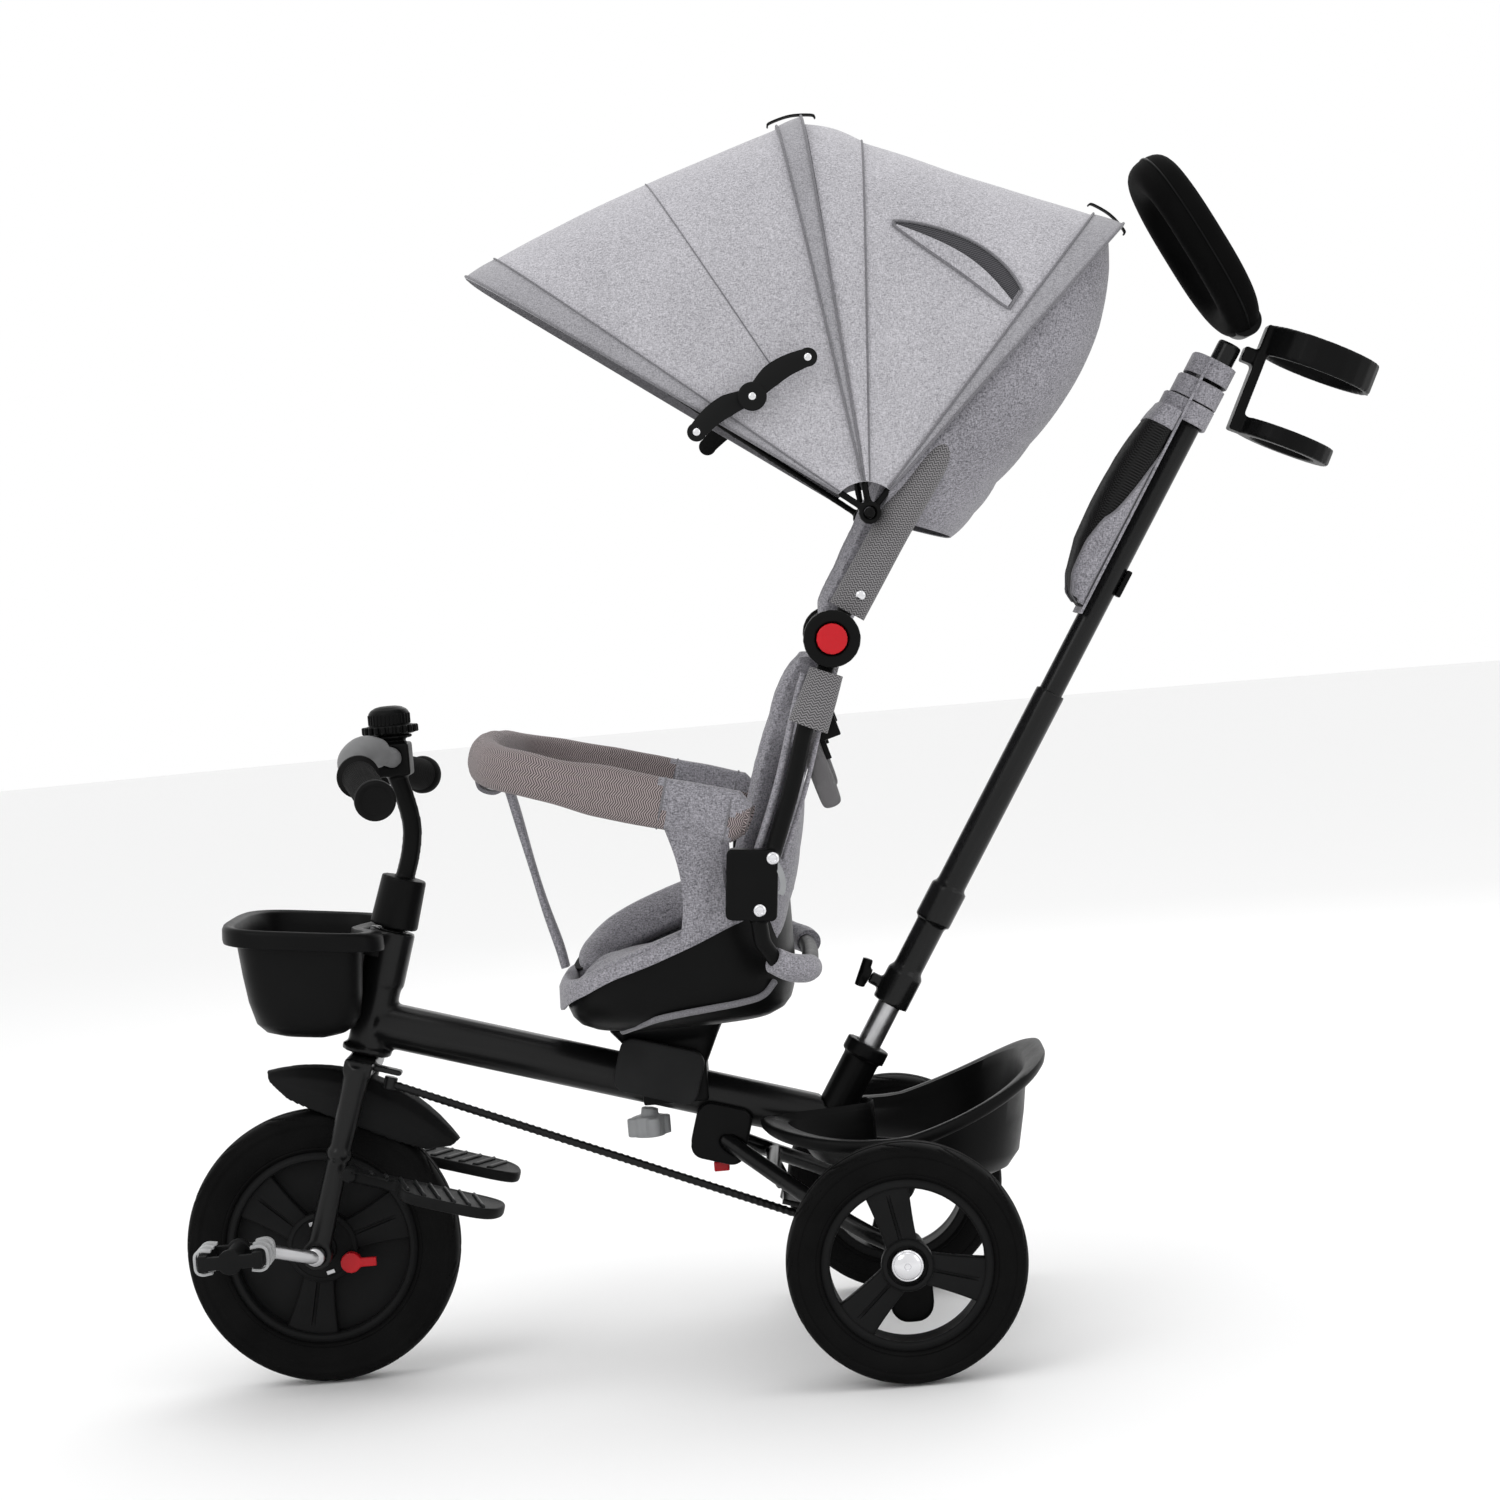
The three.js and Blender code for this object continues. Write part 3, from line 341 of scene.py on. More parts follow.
CANOPY = melange("canopy_melange", (0.245, 0.241, 0.258), (0.56, 0.55, 0.585))
CANOPY_IN = melange("canopy_lining", (0.13, 0.128, 0.138), (0.24, 0.236, 0.25), sheen=0.1)
SEAT = melange("seat_melange", (0.105, 0.103, 0.115), (0.40, 0.39, 0.425), fine=640)
BIND = melange("binding_tape", (0.12, 0.118, 0.128), (0.22, 0.216, 0.232), fine=1100, streak=(900, 900, 900),
        weave=0.5)
MESH = herringbone("herringbone_mesh", (0.035, 0.029, 0.029), (0.39, 0.33, 0.33))
SLEEVE = herringbone("sleeve_mesh", (0.05, 0.049, 0.05), (0.26, 0.252, 0.26), 0.0026, 0.0052)
NET = net("pouch_net", grey(0.004), grey(0.022))
BLACK = plastic("black_plastic", grey(0.0032, -0.02), 0.40)
BLACK_SOFT = plastic("black_plastic_soft", grey(0.007, -0.02), 0.5, 0.4)
COVER = plastic("dark_grey_plastic", grey(0.016, -0.02), 0.5, 0.3)
GREY_PLASTIC = plastic("grey_plastic", grey(0.30, -0.02), 0.4, 0.3)
TUBE_GREY = plastic("grey_shell", grey(0.20, -0.01), 0.42, 0.3)
RED = plastic("red_plastic", (0.44, 0.006, 0.012), 0.34, 0.15, coat=0.3)
PAINT = paint("black_powder_coat", grey(0.0045, -0.02), 0.30)
SATIN = paint("satin_black_tube", grey(0.006, -0.02), 0.24)
CHROME = metal("chrome", (0.78, 0.78, 0.80))
STEEL = metal("zinc_steel", (0.55, 0.55, 0.56), 0.3)
TYRE = rubber("tyre_rubber", grey(0.004))
FOAM = rubber("grip_foam", grey(0.0022), 0.8, 1400, 0.8)
GRIP = rubber("grip_rubber", grey(0.007), 0.6)

CANOPY_BAND = melange("canopy_band", (0.19, 0.187, 0.2), (0.40, 0.394, 0.42), fine=900)
NET_GREY = net("vent_net", (0.03, 0.03, 0.034), (0.11, 0.108, 0.116), 0.0022)
LINING_BLACK = melange("black_webbing", grey(0.005), grey(0.02), fine=1600, sheen=0.1)
# ---------------------------------------------------------------- geometry
class Geo:
    """Vertices and faces of one piece, gathered part by part; each face may have its own material and UVs."""

    def __init__(self):
        self.v, self.f, self.m, self.uv, self.s = [], [], [], [], []

    def add(self, verts, faces, mat=0, uvs=None, smooth=True):
        base = len(self.v)
        self.v.extend(Vector(p) for p in verts)
        for i, f in enumerate(faces):
            self.f.append([base + k for k in f])
            self.m.append(mat)
            self.s.append(smooth)
            self.uv.append(uvs[i] if uvs else None)
        return self

    def join(self, other, mat=None):
        base = len(self.v)
        self.v.extend(other.v)
        for f, m, s, uv in zip(other.f, other.m, other.s, other.uv):
            self.f.append([base + k for k in f])
            self.m.append(m if mat is None else mat)
            self.s.append(s)
            self.uv.append(uv)
        return self

    def mirrored(self):
        g = Geo()
        g.v = [Vector((p.x, -p.y, p.z)) for p in self.v]
        g.f = [list(reversed(f)) for f in self.f]
        g.m, g.s = list(self.m), list(self.s)
        g.uv = [list(reversed(uv)) if uv else None for uv in self.uv]
        return g

    def piece(self, name, mats, body, slot, replaces=(), sharp=40, subdiv=0, bevel=0.0):
        mesh = bpy.data.meshes.new(name)
        mesh.from_pydata([tuple(p) for p in self.v], [], self.f)
        mats = mats if isinstance(mats, (list, tuple)) else [mats]
        for m in mats:
            mesh.materials.append(m)
        layer = mesh.uv_layers.new(name="UVMap")
        for poly, m, s, uv in zip(mesh.polygons, self.m, self.s, self.uv):
            poly.material_index = min(m, len(mats) - 1)
            poly.use_smooth = s
            if uv:
                for li, c in zip(poly.loop_indices, uv):
                    layer.data[li].uv = c
        mesh.validate()
        mesh.set_sharp_from_angle(angle=rad(sharp))
        o = bpy.data.objects.new(name, mesh)
        bpy.context.scene.collection.objects.link(o)
        if bevel:
            b = o.modifiers.new("bevel", "BEVEL")
            b.width = bevel / 1000
            b.segments = 2
            b.limit_method = "ANGLE"
            b.angle_limit = rad(38)
            b.harden_normals = False
        if subdiv:
            d = o.modifiers.new("subdiv", "SUBSURF")
            d.levels = d.render_levels = subdiv
        if body:
            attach(o, body)
        if replaces:
            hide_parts(*replaces)
        return o


def smooth_path(points, steps, closed=False):
    """Catmull-Rom curve through the points."""
    pts = [Vector(p) for p in points]
    out = []
    n = len(pts)
    spans = n if closed else n - 1
    for i in range(spans):
        p0 = pts[(i - 1) % n] if closed or i > 0 else pts[0] * 2 - pts[1]
        p1, p2 = pts[i], pts[(i + 1) % n]
        p3 = pts[(i + 2) % n] if closed or i + 2 < n else pts[-1] * 2 - pts[-2]
        for k in range(steps):
            t = k / steps
            out.append(0.5 * ((2 * p1) + (p2 - p0) * t + (2 * p0 - 5 * p1 + 4 * p2 - p3) * t * t
                              + (3 * p1 - p0 - 3 * p2 + p3) * t ** 3))
    if not closed:
        out.append(pts[-1])
    return out


def frames(path, closed=False, up=None):
    """Parallel-transported (tangent, side, normal) along a path."""
    n = len(path)
    tang = []
    for i in range(n):
        a = path[(i - 1) % n] if closed or i > 0 else path[i]
        b = path[(i + 1) % n] if closed or i < n - 1 else path[i]
        tang.append((b - a).normalized())
    ref = Vector(up) if up else (Vector((0, 1, 0)) if abs(tang[0].y) < 0.9 else Vector((0, 0, 1)))
    side = (ref - tang[0] * ref.dot(tang[0])).normalized()
    out = []
    for t in tang:
        side = (side - t * side.dot(t)).normalized()
        out.append((t, side, t.cross(side)))
    return out


def sweep(path, section, closed=False, caps=True, up=None, mat=0, fixed=False):
    """section(i, u) gives the outline at step i as (side, normal) offsets in mm; fixed keeps side along up."""
    path = [Vector(p) for p in path]
    fr = frames(path, closed, up)
    n = len(path)
    rings, run, length = [], [0.0], 0.0
    for i in range(1, n):
        length += (path[i] - path[i - 1]).length
        run.append(length)
    for i, (p, (t, s, nn)) in enumerate(zip(path, fr)):
        if fixed:
            s = (Vector(up) - t * Vector(up).dot(t)).normalized()
            nn = t.cross(s)
        rings.append([p + s * (a / 1000) + nn * (b / 1000) for a, b in section(i, run[i] / max(length, 1e-9))])
    return skin(rings, closed, caps, run, mat)


def skin(rings, closed=False, caps=True, run=None, mat=0):
    """Faces between rings of equal point counts."""
    g = Geo()
    k = len(rings[0])
    verts = [p for r in rings for p in r]
    faces, uvs = [], []
    around = [0.0]
    for j in range(k):
        around.append(around[-1] + (rings[0][(j + 1) % k] - rings[0][j]).length)
    n = len(rings)
    if run is None:
        run = [0.0]
        for i in range(1, n):
            run.append(run[-1] + (rings[i][0] - rings[i - 1][0]).length)
    for i in range(n if closed else n - 1):
        i2 = (i + 1) % n
        r1, r2 = run[i], run[i2] if i2 > i else run[i] + (rings[i2][0] - rings[i][0]).length
        for j in range(k):
            j2 = (j + 1) % k
            faces.append([i * k + j, i * k + j2, i2 * k + j2, i2 * k + j])
            uvs.append([(r1, around[j]), (r1, around[j + 1]), (r2, around[j + 1]), (r2, around[j])])
    g.add(verts, faces, mat, uvs)
    if caps and not closed:
        g.add([], [], mat)
        for ring, flip in ((0, True), (n - 1, False)):
            c = sum(rings[ring], Vector()) / k
            base = len(g.v)
            g.v.append(c)
            for j in range(k):
                a, b = ring * k + j, ring * k + (j + 1) % k
                g.f.append([b, a, base] if flip else [a, b, base])
                g.m.append(mat)
                g.s.append(True)
                g.uv.append([(0, 0), (0.001, 0), (0, 0.001)])
    return g


def circle(r, sides=28):
    return [(r * math.cos(2 * math.pi * k / sides), r * math.sin(2 * math.pi * k / sides))
            for k in range(sides)]


def tube(points, r, sides=28, steps=8, closed=False, mat=0, rounded=0.8):
    """A round bar through the points, r in mm (a number, or one per point), with softly rounded ends."""
    pts = smooth_path(points, steps, closed) if len(points) > 2 else [
        Vector(points[0]).lerp(Vector(points[1]), t) for t in (0, 0.25, 0.5, 0.75, 1)]
    n = len(pts)

    def radius(u):
        if isinstance(r, (int, float)):
            return r
        x = u * (len(r) - 1)
        i = min(int(x), len(r) - 2)
        return r[i] + (r[i + 1] - r[i]) * (x - i)
    if not closed and rounded:
        a, b = (pts[1] - pts[0]).normalized(), (pts[-1] - pts[-2]).normalized()
        q = rounded / 1000
        pts = [pts[0], pts[0] + a * q] + pts[1:-1] + [pts[-1] - b * q, pts[-1]]
        n = len(pts)
    radii = [radius(i / (n - 1)) for i in range(n)]
    if not closed and rounded:
        radii[0] -= rounded
        radii[-1] -= rounded
    return sweep(pts, lambda i, u: circle(radii[i], sides), closed, True, None, mat)


def turned(origin, axis, profile, sides=96, mat=0, closed=False):
    """A solid of revolution: profile is (radius, along) in mm from origin along axis; starts and ends on the axis unless closed."""
    axis = Vector(axis).normalized()
    ref = Vector((0, 0, 1)) if abs(axis.z) < 0.9 else Vector((1, 0, 0))
    u = (ref - axis * ref.dot(axis)).normalized()
    w = axis.cross(u)
    rings = []
    for j in range(sides):
        a = 2 * math.pi * j / sides
        d = u * math.cos(a) + w * math.sin(a)
        rings.append([Vector(origin) + d * (r / 1000) + axis * (h / 1000) for r, h in profile])
    g = Geo()
    k = len(profile)
    verts = [p for r in rings for p in r]
    faces = []
    for j in range(sides):
        j2 = (j + 1) % sides
        for i in range(k if closed else k - 1):
            i2 = (i + 1) % k
            quad = [j * k + i, j * k + i2, j2 * k + i2, j2 * k + i]
            faces.append(quad)
    return g.add(verts, faces, mat)


def rounded_profile(points, r=1.5, steps=3):
    """Rounds the corners of a polyline profile by radius r mm."""
    pts = [Vector((a, b)) for a, b in points]
    out = [pts[0]]
    for i in range(1, len(pts) - 1):
        p, a, b = pts[i], pts[i - 1] - pts[i], pts[i + 1] - pts[i]
        q = min(r, a.length * 0.45, b.length * 0.45)
        s, e = p + a.normalized() * q, p + b.normalized() * q
        for k in range(steps + 1):
            t = k / steps
            out.append(s * (1 - t) ** 2 + p * 2 * t * (1 - t) + e * t * t)
    out.append(pts[-1])
    return [(p.x, p.y) for p in out]


def knob_turned(origin, axis, points, r=1.5, sides=64, mat=0):
    return turned(origin, axis, rounded_profile(points, r), sides, mat)


def brick(centre, size, turn=0.0, edge=1.2):
    """A block with bevelled edges; size in mm, turned about +Y by `turn` degrees."""
    bm = bmesh.new()
    bmesh.ops.create_cube(bm, size=1)
    for v in bm.verts:
        v.co = Vector((v.co.x * size[0], v.co.y * size[1], v.co.z * size[2])) / 1000
    if edge:
        bmesh.ops.bevel(bm, geom=list(bm.edges), offset=edge / 1000, segments=2, affect="EDGES", profile=0.6)
    rot = Matrix.Rotation(rad(turn), 3, "Y")
    g = Geo()
    bm.verts.index_update()
    g.add([rot @ v.co + Vector(centre) for v in bm.verts], [[v.index for v in f.verts] for f in bm.faces],
          smooth=False)
    bm.free()
    return g


def outline(cx, a, b, power, z, n=96):
    """A superellipse ring in plan, z a number or a function of x, in mm."""
    out = []
    for k in range(n):
        t = 2 * math.pi * k / n
        c, s = math.cos(t), math.sin(t)
        x = cx + a * math.copysign(abs(c) ** (2 / power), c)
        y = b * math.copysign(abs(s) ** (2 / power), s)
        out.append(V(x, y, z(x) if callable(z) else z))
    return out


def refine(node, mat, voxel=1.6, passes=6):
    """Gives a faceted CAD piece soft moulded edges: fine remesh and smoothing, as modifiers on the CAD object."""
    o = NODES[node]
    o.data.materials.clear()
    o.data.materials.append(mat)
    for p in o.data.polygons:
        p.use_smooth = True
    r = o.modifiers.new("remesh", "REMESH")
    r.mode = "VOXEL"
    r.voxel_size = voxel / 1000
    r.use_smooth_shade = True
    s = o.modifiers.new("smooth", "SMOOTH")
    s.factor = 0.5
    s.iterations = passes
    return o


def sheet_flat(grid):
    """The width and the length of the cloth that a grid of points was cut from, in metres."""
    rows = [sum((b - a).length for a, b in zip(r, r[1:])) for r in grid]
    columns = [sum((b[j] - a[j]).length for a, b in zip(grid, grid[1:])) for j in range(len(grid[0]))]
    return max(rows), max(columns)


# ---------------------------------------------------------------- wheels
def tyre(name, y, centre, radius, inner, body, node, around=560):
    """A solid tyre: stepped side walls, two centre grooves and curved sipes over both shoulders."""
    half = 22.0
    depth = radius - inner
    # across (mm), radius (mm), tread share 0..1 measured from the shoulder line to the crown
    side = [(15.5, inner), (19.2, inner + 0.6), (20.6, inner + 3.0), (19.9, inner + 4.2), (20.9, inner + 5.4),
            (21.7, inner + 0.42 * depth), (22.0, inner + 0.56 * depth), (21.2, inner + 0.64 * depth),
            (21.9, inner + 0.67 * depth), (21.3, inner + 0.76 * depth)]
    crown = []
    steps = 15
    for i in range(steps + 1):
        t = i / steps
        a = rad(90 * t)
        w = (half - 1.2) * math.cos(a) ** 0.85 if t < 1 else 0.0
        r = inner + 0.78 * depth + (0.22 * depth) * math.sin(a) ** 0.72
        crown.append((w, r, t))
    profile = [(w, r, 0) for w, r in side] + crown
    profile = profile + [(-w, r, t) for w, r, t in reversed(profile[:-1])]
    sipes = 15 if radius > 110 else 13
    verts = []
    for j in range(around):
        ang = 2 * math.pi * j / around
        for w, r, t in profile:
            cut = 0.0
            if t > 0:
                lean = ang * sipes / (2 * math.pi) + (0.25 if w < 0 else 0.0)
                for offset, lo, hi, bend in ((0.0, 0.02, 0.80, 0.95), (0.42, 0.02, 0.45, 0.70)):
                    where = lean - offset - bend * (1 - (1 - t) ** 2) * 0.8
                    d = abs((where + 0.5) % 1 - 0.5) * 2 * math.pi * radius / sipes
                    if lo <= t <= hi:
                        cut = max(cut, 1.5 * max(0.0, 1 - (d / 1.7) ** 2))
                if 0.86 <= t <= 0.93:
                    cut = max(cut, 1.3)
            a = ang
            rr = (r - cut) / 1000
            verts.append(centre + Vector((rr * math.cos(a), (y + w * (1 - 0.02 * cut)) / 1000,
                    rr * math.sin(a))))
    k = len(profile)
    faces = [[j * k + i, ((j + 1) % around) * k + i, ((j + 1) % around) * k + (i + 1) % k, j * k + (i + 1) % k]
             for j in range(around) for i in range(k)]
    g = Geo().add(verts, faces)
    return g.piece(name, TYRE, body, "tyre", [node], sharp=52)


def spoke(centre, angle, r0, r1, w0, w1, ya, yb, groove=1.8, steps=8, rib=True):
    """A flared spoke between radii r0 and r1 with a sunk line down each face."""
    d = Vector((math.cos(rad(angle)), 0, math.sin(rad(angle))))
    s = Vector((-d.z, 0, d.x))
    rings = []
    for i in range(steps + 1):
        u = i / steps
        r = r0 + (r1 - r0) * u
        w = (w0 + (w1 - w0) * u ** 1.5) / 2
        fade = 1.0 if 0.14 < u < 0.86 else 0.0
        dip = 2.4 * fade if rib else 0
        g = groove
        face = [(-w, 0.0), (-w, -2.0), (-w + 0.7, -0.8), (-w + 2.0, -0.2), (-g - 1.4, 0.0), (-g, 0.0),
                (-g * 0.6, -dip),
                (g * 0.6, -dip), (g, 0.0), (g + 1.4, 0.0), (w - 2.0, -0.2), (w - 0.7, -0.8), (w, -2.0)]
        face = face[1:]
        top = [(t, yb + h) for t, h in face]
        bottom = [(t, ya - h) for t, h in reversed(face)]
        rings.append([centre + d * (r / 1000) + s * (t / 1000) + Vector((0, h / 1000, 0)) for t,
                h in top + bottom])
    return skin(rings)


def rims():
    c = AXLE
    g = Geo()
    g.join(turned(c, (0, 1, 0),
            rounded_profile([(89.5, -16), (84, -20.5), (81, -20.5), (79.4, -18), (79, -4), (79, 4),
                                                 (79.4, 18), (81, 20.5), (84, 20.5), (89.5, 16), (89.5, -16)],
                                                 0.8), 128, closed=True))
    g.join(turned(c, (0, 1, 0), rounded_profile([(11, -3), (79.6, -6), (79.6, 6), (11, 3), (11, -3)], 0.3), 96,
            closed=True))
    for k in (18, 138, 258):
        for y0, y1 in ((-15.5, -3), (3, 15.5)):
            g.join(spoke(c, k, 22, 80, 27, 49, y0, y1))
    for sign in (-1, 1):
        g.join(turned(c, (0, sign, 0),
                rounded_profile([(9.5, 4), (32, 4), (32, 17.5), (28, 19.5), (27, 18.6), (14, 18.6),
                                                        (13, 23.5), (9.5, 23.5), (9.5, 4)], 0.9), 72,
                                                        closed=True))
    g.piece("front_wheel_rim", BLACK_SOFT, "front_wheel", "black_plastic", ["front_rim"], bevel=0.0)
    # zinc dog slots seen round the hub
    dogs = Geo()
    for k in (105, 75, 285):
        d = Vector((math.cos(rad(k)), 0, math.sin(rad(k))))
        for sign in (-1, 1):
            dogs.join(brick(c + d * 0.0235 + Vector((0, sign * 0.0192, 0)), (7.5, 1.2, 3.6), -k + 90, edge=0.5))
    dogs.piece("front_hub_dogs", STEEL, "front_wheel", "chrome")

    for name, y, degs in (("left", -205, (101, 223, 344)), ("right", 205, (20, 140, 260))):
        sign = math.copysign(1, y)
        c = REAR + Vector((0, y / 1000, 0))
        g = Geo()
        g.join(turned(c, (0, sign, 0),
                rounded_profile([(75.4, -18), (68, -19), (66.6, -17), (67.2, -2), (67.2, 10), (66.0, 18),
                                                        (68.5, 20.4), (71.0, 19.6), (75.4, 17), (75.4, -18)],
                                                        0.9), 128, closed=True))
        for k in degs:
            g.join(spoke(c, k, 14, 69, 27, 40, min(sign * 4, sign * 17.5), max(sign * 4, sign * 17.5),
                    groove=1.7))
            g.join(spoke(c, k, 30, 69, 20, 30, min(sign * -13, sign * 5), max(sign * -13, sign * 5), rib=False))
        g.join(turned(c, (0, sign, 0),
                rounded_profile([(9.6, -20), (20, -20), (22.6, 8), (22.6, 19.5), (20.5, 22), (17.6, 22),
                (17.2, 15.5),
                                                        (9.6, 15.5), (9.6, -20)], 0.9), 72, closed=True))
        g.piece("rear_wheel_rim_" + name, BLACK_SOFT, "rear_wheel_" + name, "black_plastic",
                ["rear_rim_" + name])
        cap = turned(c, (0, sign, 0),
                [(0, 14.6), (14.4, 14.6), (14.4, 20.5), (13.9, 22.0), (12.6, 22.9), (12.0, 22.6), (11.2, 23.6),
                                       (8.0, 25.2), (5.0, 25.8), (3.0, 25.9), (2.4, 25.2), (0, 25.0)], 72)
        cap.piece("rear_hub_cap_" + name, CHROME, "rear_wheel_" + name, "chrome", ["axle_cap_" + name])
        tyre("rear_tyre_tread_" + name, y, REAR, 104, 74, "rear_wheel_" + name, "rear_tyre_" + name, 480)
    tyre("front_tyre_tread", 0, AXLE, 125, 87.6, "front_wheel", "front_tyre")


rims()

# ---------------------------------------------------------------- frame, fork, baskets and small parts
def basket(levels, wall, power, n, lip, warp=None):
    """Rings of an open tub: outer levels up, over the rolled lip, and down inside; each level is (x, a, b, z)."""
    rings = []
    rows = levels[:-1] + lip + levels[-1:]
    for cx, a, b, z in rows:
        rings.append(outline(cx, a, b, power, z, n))
    for cx, a, b, z in reversed(levels[1:]):
        rings.append(outline(cx, a - wall, b - wall, power, z, n))
    cx, a, b, z = levels[0]
    rings.append(outline(cx, a - wall, b - wall, power, lambda x: (z(x) if callable(z) else z) + wall, n))
    if warp:
        rings = [[warp(p) for p in r] for r in rings]
    return skin(rings, run=None)


def front_basket():
    def rim(x):
        return 419 - (x + 420) * 0.12

    def warp(p):
        x = p.x * 1000 - SHIFT
        z = p.z * 1000
        y = p.y * 1000
        if x < -440:
            return p
        clear = -446 + (z - 125) * math.tan(rad(17.5)) - 29
        rear = -390 + (z - 320) * 0.4
        most = 1 - (clear + 440) / (rear + 440)
        return V(-440 + (x + 440) * (1 - most * math.exp(-((y / 46) ** 2))), y, z)
    levels = [(-426, 22, 36, lambda x: 318.5 + abs(x + 420) * 0.08),
            (-427, 38, 58, lambda x: 321 + abs(x + 420) * 0.1),
              (-429, 47, 71, lambda x: 327 + abs(x + 420) * 0.05), (-430, 53, 80, 338), (-431, 57, 86, 358),
              (-431.5, 59.5, 89.5, 382),
              (-432, 62, 92.5, lambda x: rim(x) - 12), (-432, 65, 95, lambda x: rim(x) - 1.5),
              (-432, 66, 96, rim)]
    lip = [(-432, 63, 93.5, lambda x: rim(x) - 12.5), (-430, 68, 98, lambda x: rim(x) - 13),
            (-428.5, 74.5, 101.5, lambda x: rim(x) - 15.5),
           (-428, 77, 103, lambda x: rim(x) - 15), (-428, 77.6, 103, lambda x: rim(x) - 12),
           (-428, 77, 103, lambda x: rim(x) - 3),
           (-428, 75.5, 102, lambda x: rim(x) + 0.2), (-430, 71, 99, lambda x: rim(x) + 1.2),
           (-431, 68, 97.3, lambda x: rim(x) + 0.9)]
    g = basket(levels, 2.6, 4, 128, lip, warp)
    # mounting bracket between basket and head tube
    for y in (-20, 20):
        g.join(brick(V(-379 + 4, y * 0.9, 398), (16, 6, 22), 17.5, edge=1))
    g.piece("front_basket_tub", BLACK, "frame", "black_plastic", ["front_basket"], sharp=58)


def rear_basket():
    def rim(x):
        return REAR_RIM(x)
    levels = [(92, 60, 72, lambda x: 166 - (x - 10) * 0.15), (92, 78, 92, lambda x: 170 - (x - 10) * 0.15),
            (94, 90, 107, lambda x: 175 - (x - 10) * 0.13),
              (96, 98, 117, lambda x: 184 - (x - 10) * 0.1),
              (96, 105, 123, lambda x: 0.55 * 184 + 0.45 * rim(x) - (x - 10) * 0.05),
              (95, 111, 128, lambda x: rim(x) - 9), (95, 114, 130, rim)]
    lip = [(95, 112, 128.5, lambda x: rim(x) - 9), (94, 120, 134, lambda x: rim(x) - 10),
            (92, 128, 139.5, lambda x: rim(x) - 10.5),
           (92, 131, 141.5, lambda x: rim(x) - 8), (92, 132, 142, lambda x: rim(x) - 4),
           (92, 131, 141, lambda x: rim(x) - 0.8),
           (92, 128, 139, lambda x: rim(x) + 0.8), (93.5, 121, 134.5, lambda x: rim(x) + 1.0),
           (94.7, 116, 131.4, lambda x: rim(x) + 0.6)]

    def warp(p):
        x, y, z = p.x * 1000 - SHIFT, p.y * 1000, p.z * 1000
        # the front wall stays clear of the socket and the main tube
        if x < 66:
            pull = math.exp(-((y / 34) ** 4)) * min(1.0, (66 - x) / 10)
            return V(x + (66 - x) * pull, y, z)
        return p
    g = basket(levels, 3, 3, 144, lip, warp)
    for y in (-58, 0, 58):                       # moulded ribs across the floor
        if y:
            g.join(brick(V(100, y, 176 - 12), (96, 4, 5), 8, edge=1.2))
    g.piece("rear_basket_tub", BLACK, "frame", "black_plastic", ["rear_basket"], sharp=58)


def REAR_RIM(x):
    return 198 + 16 * ((x - 75) / 110) ** 2 + max(0.0, x - 90) * 0.2


def footrests():
    slope = rad(17)
    turn = Matrix.Rotation(slope, 3, "Y")
    origin = V(-405, 0, 199)

    def at(u, y, h):
        return origin + turn @ Vector((u / 1000, y / 1000, h / 1000))
    plan = [(-6, 72), (-2, 67), (8, 66), (60, 66), (108, 66), (122, 67), (134, 71), (140, 80), (141, 92),
            (140, 104), (136, 117), (128, 127),
            (116, 132), (100, 133.5), (82, 134), (66, 133), (56, 129), (50, 121), (47, 110), (45.5, 99),
            (42, 91), (32, 87), (14, 85), (-4, 84)]
    path = smooth_path([Vector((a, b, 0)) for a, b in plan], 3, True)
    centre = (70, 100)
    for name, sign in (("left", -1), ("right", 1)):
        rings = []
        for h, inset in ((-5.0, 4.0), (-5.2, 2.0), (-4.4, 0.6), (-3.0, 0.0), (1.6, 0.0), (3.4, 0.4), (4.4, 1.3),
                (4.7, 2.6), (3.9, 4.6), (3.6, 6.0)):
            ring = []
            for i, p in enumerate(path):
                a, b = path[i - 1], path[(i + 1) % len(path)]
                tang = (b - a).normalized()
                inward = Vector((-tang.y, tang.x, 0))
                if inward.dot(Vector((centre[0], centre[1], 0)) - p) < 0:
                    inward = -inward
                q = p + inward * inset
                ring.append(at(q.x, q.y, h))
            rings.append(ring)
        g = skin(rings, caps=False)
        k = len(path)
        for ring, flip in ((0, True), (len(rings) - 1, False)):
            f = [ring * k + j for j in range(k)]
            g.f.append(list(reversed(f)) if flip else f)
            g.m.append(0)
            g.s.append(False)
            g.uv.append(None)
        # raised treads standing across the plate, running aslant
        for i in range(8):
            u = 22 + i * 13.5
            y0, y1 = 71, (82 if u < 40 else 118 if u < 55 else 122 if u > 112 else 128)
            a, b = at(u - 6, y0, 4.6), at(u - 6 + 15 * (y1 - y0) / 57, y1, 4.6)
            g.join(tube([a, a.lerp(b, 0.5), b], 1.7, 10, 3, rounded=0.8), 1)
        # pivot barrel
        g.join(knob_turned(at(-1, 62, 0), (0, 1, 0), [(0, 0), (6.4, 0), (6.4, 26), (0, 26)], 1.2, 32))
        if sign < 0:
            g = g.mirrored()
        g.piece("footrest_plate_" + name, [BLACK_SOFT, TREAD], "footrest_" + name, "black_plastic",
                ["footrest_" + name], sharp=50)


TREAD = plastic("tread_plastic", grey(0.02, -0.02), 0.36, 0.3)


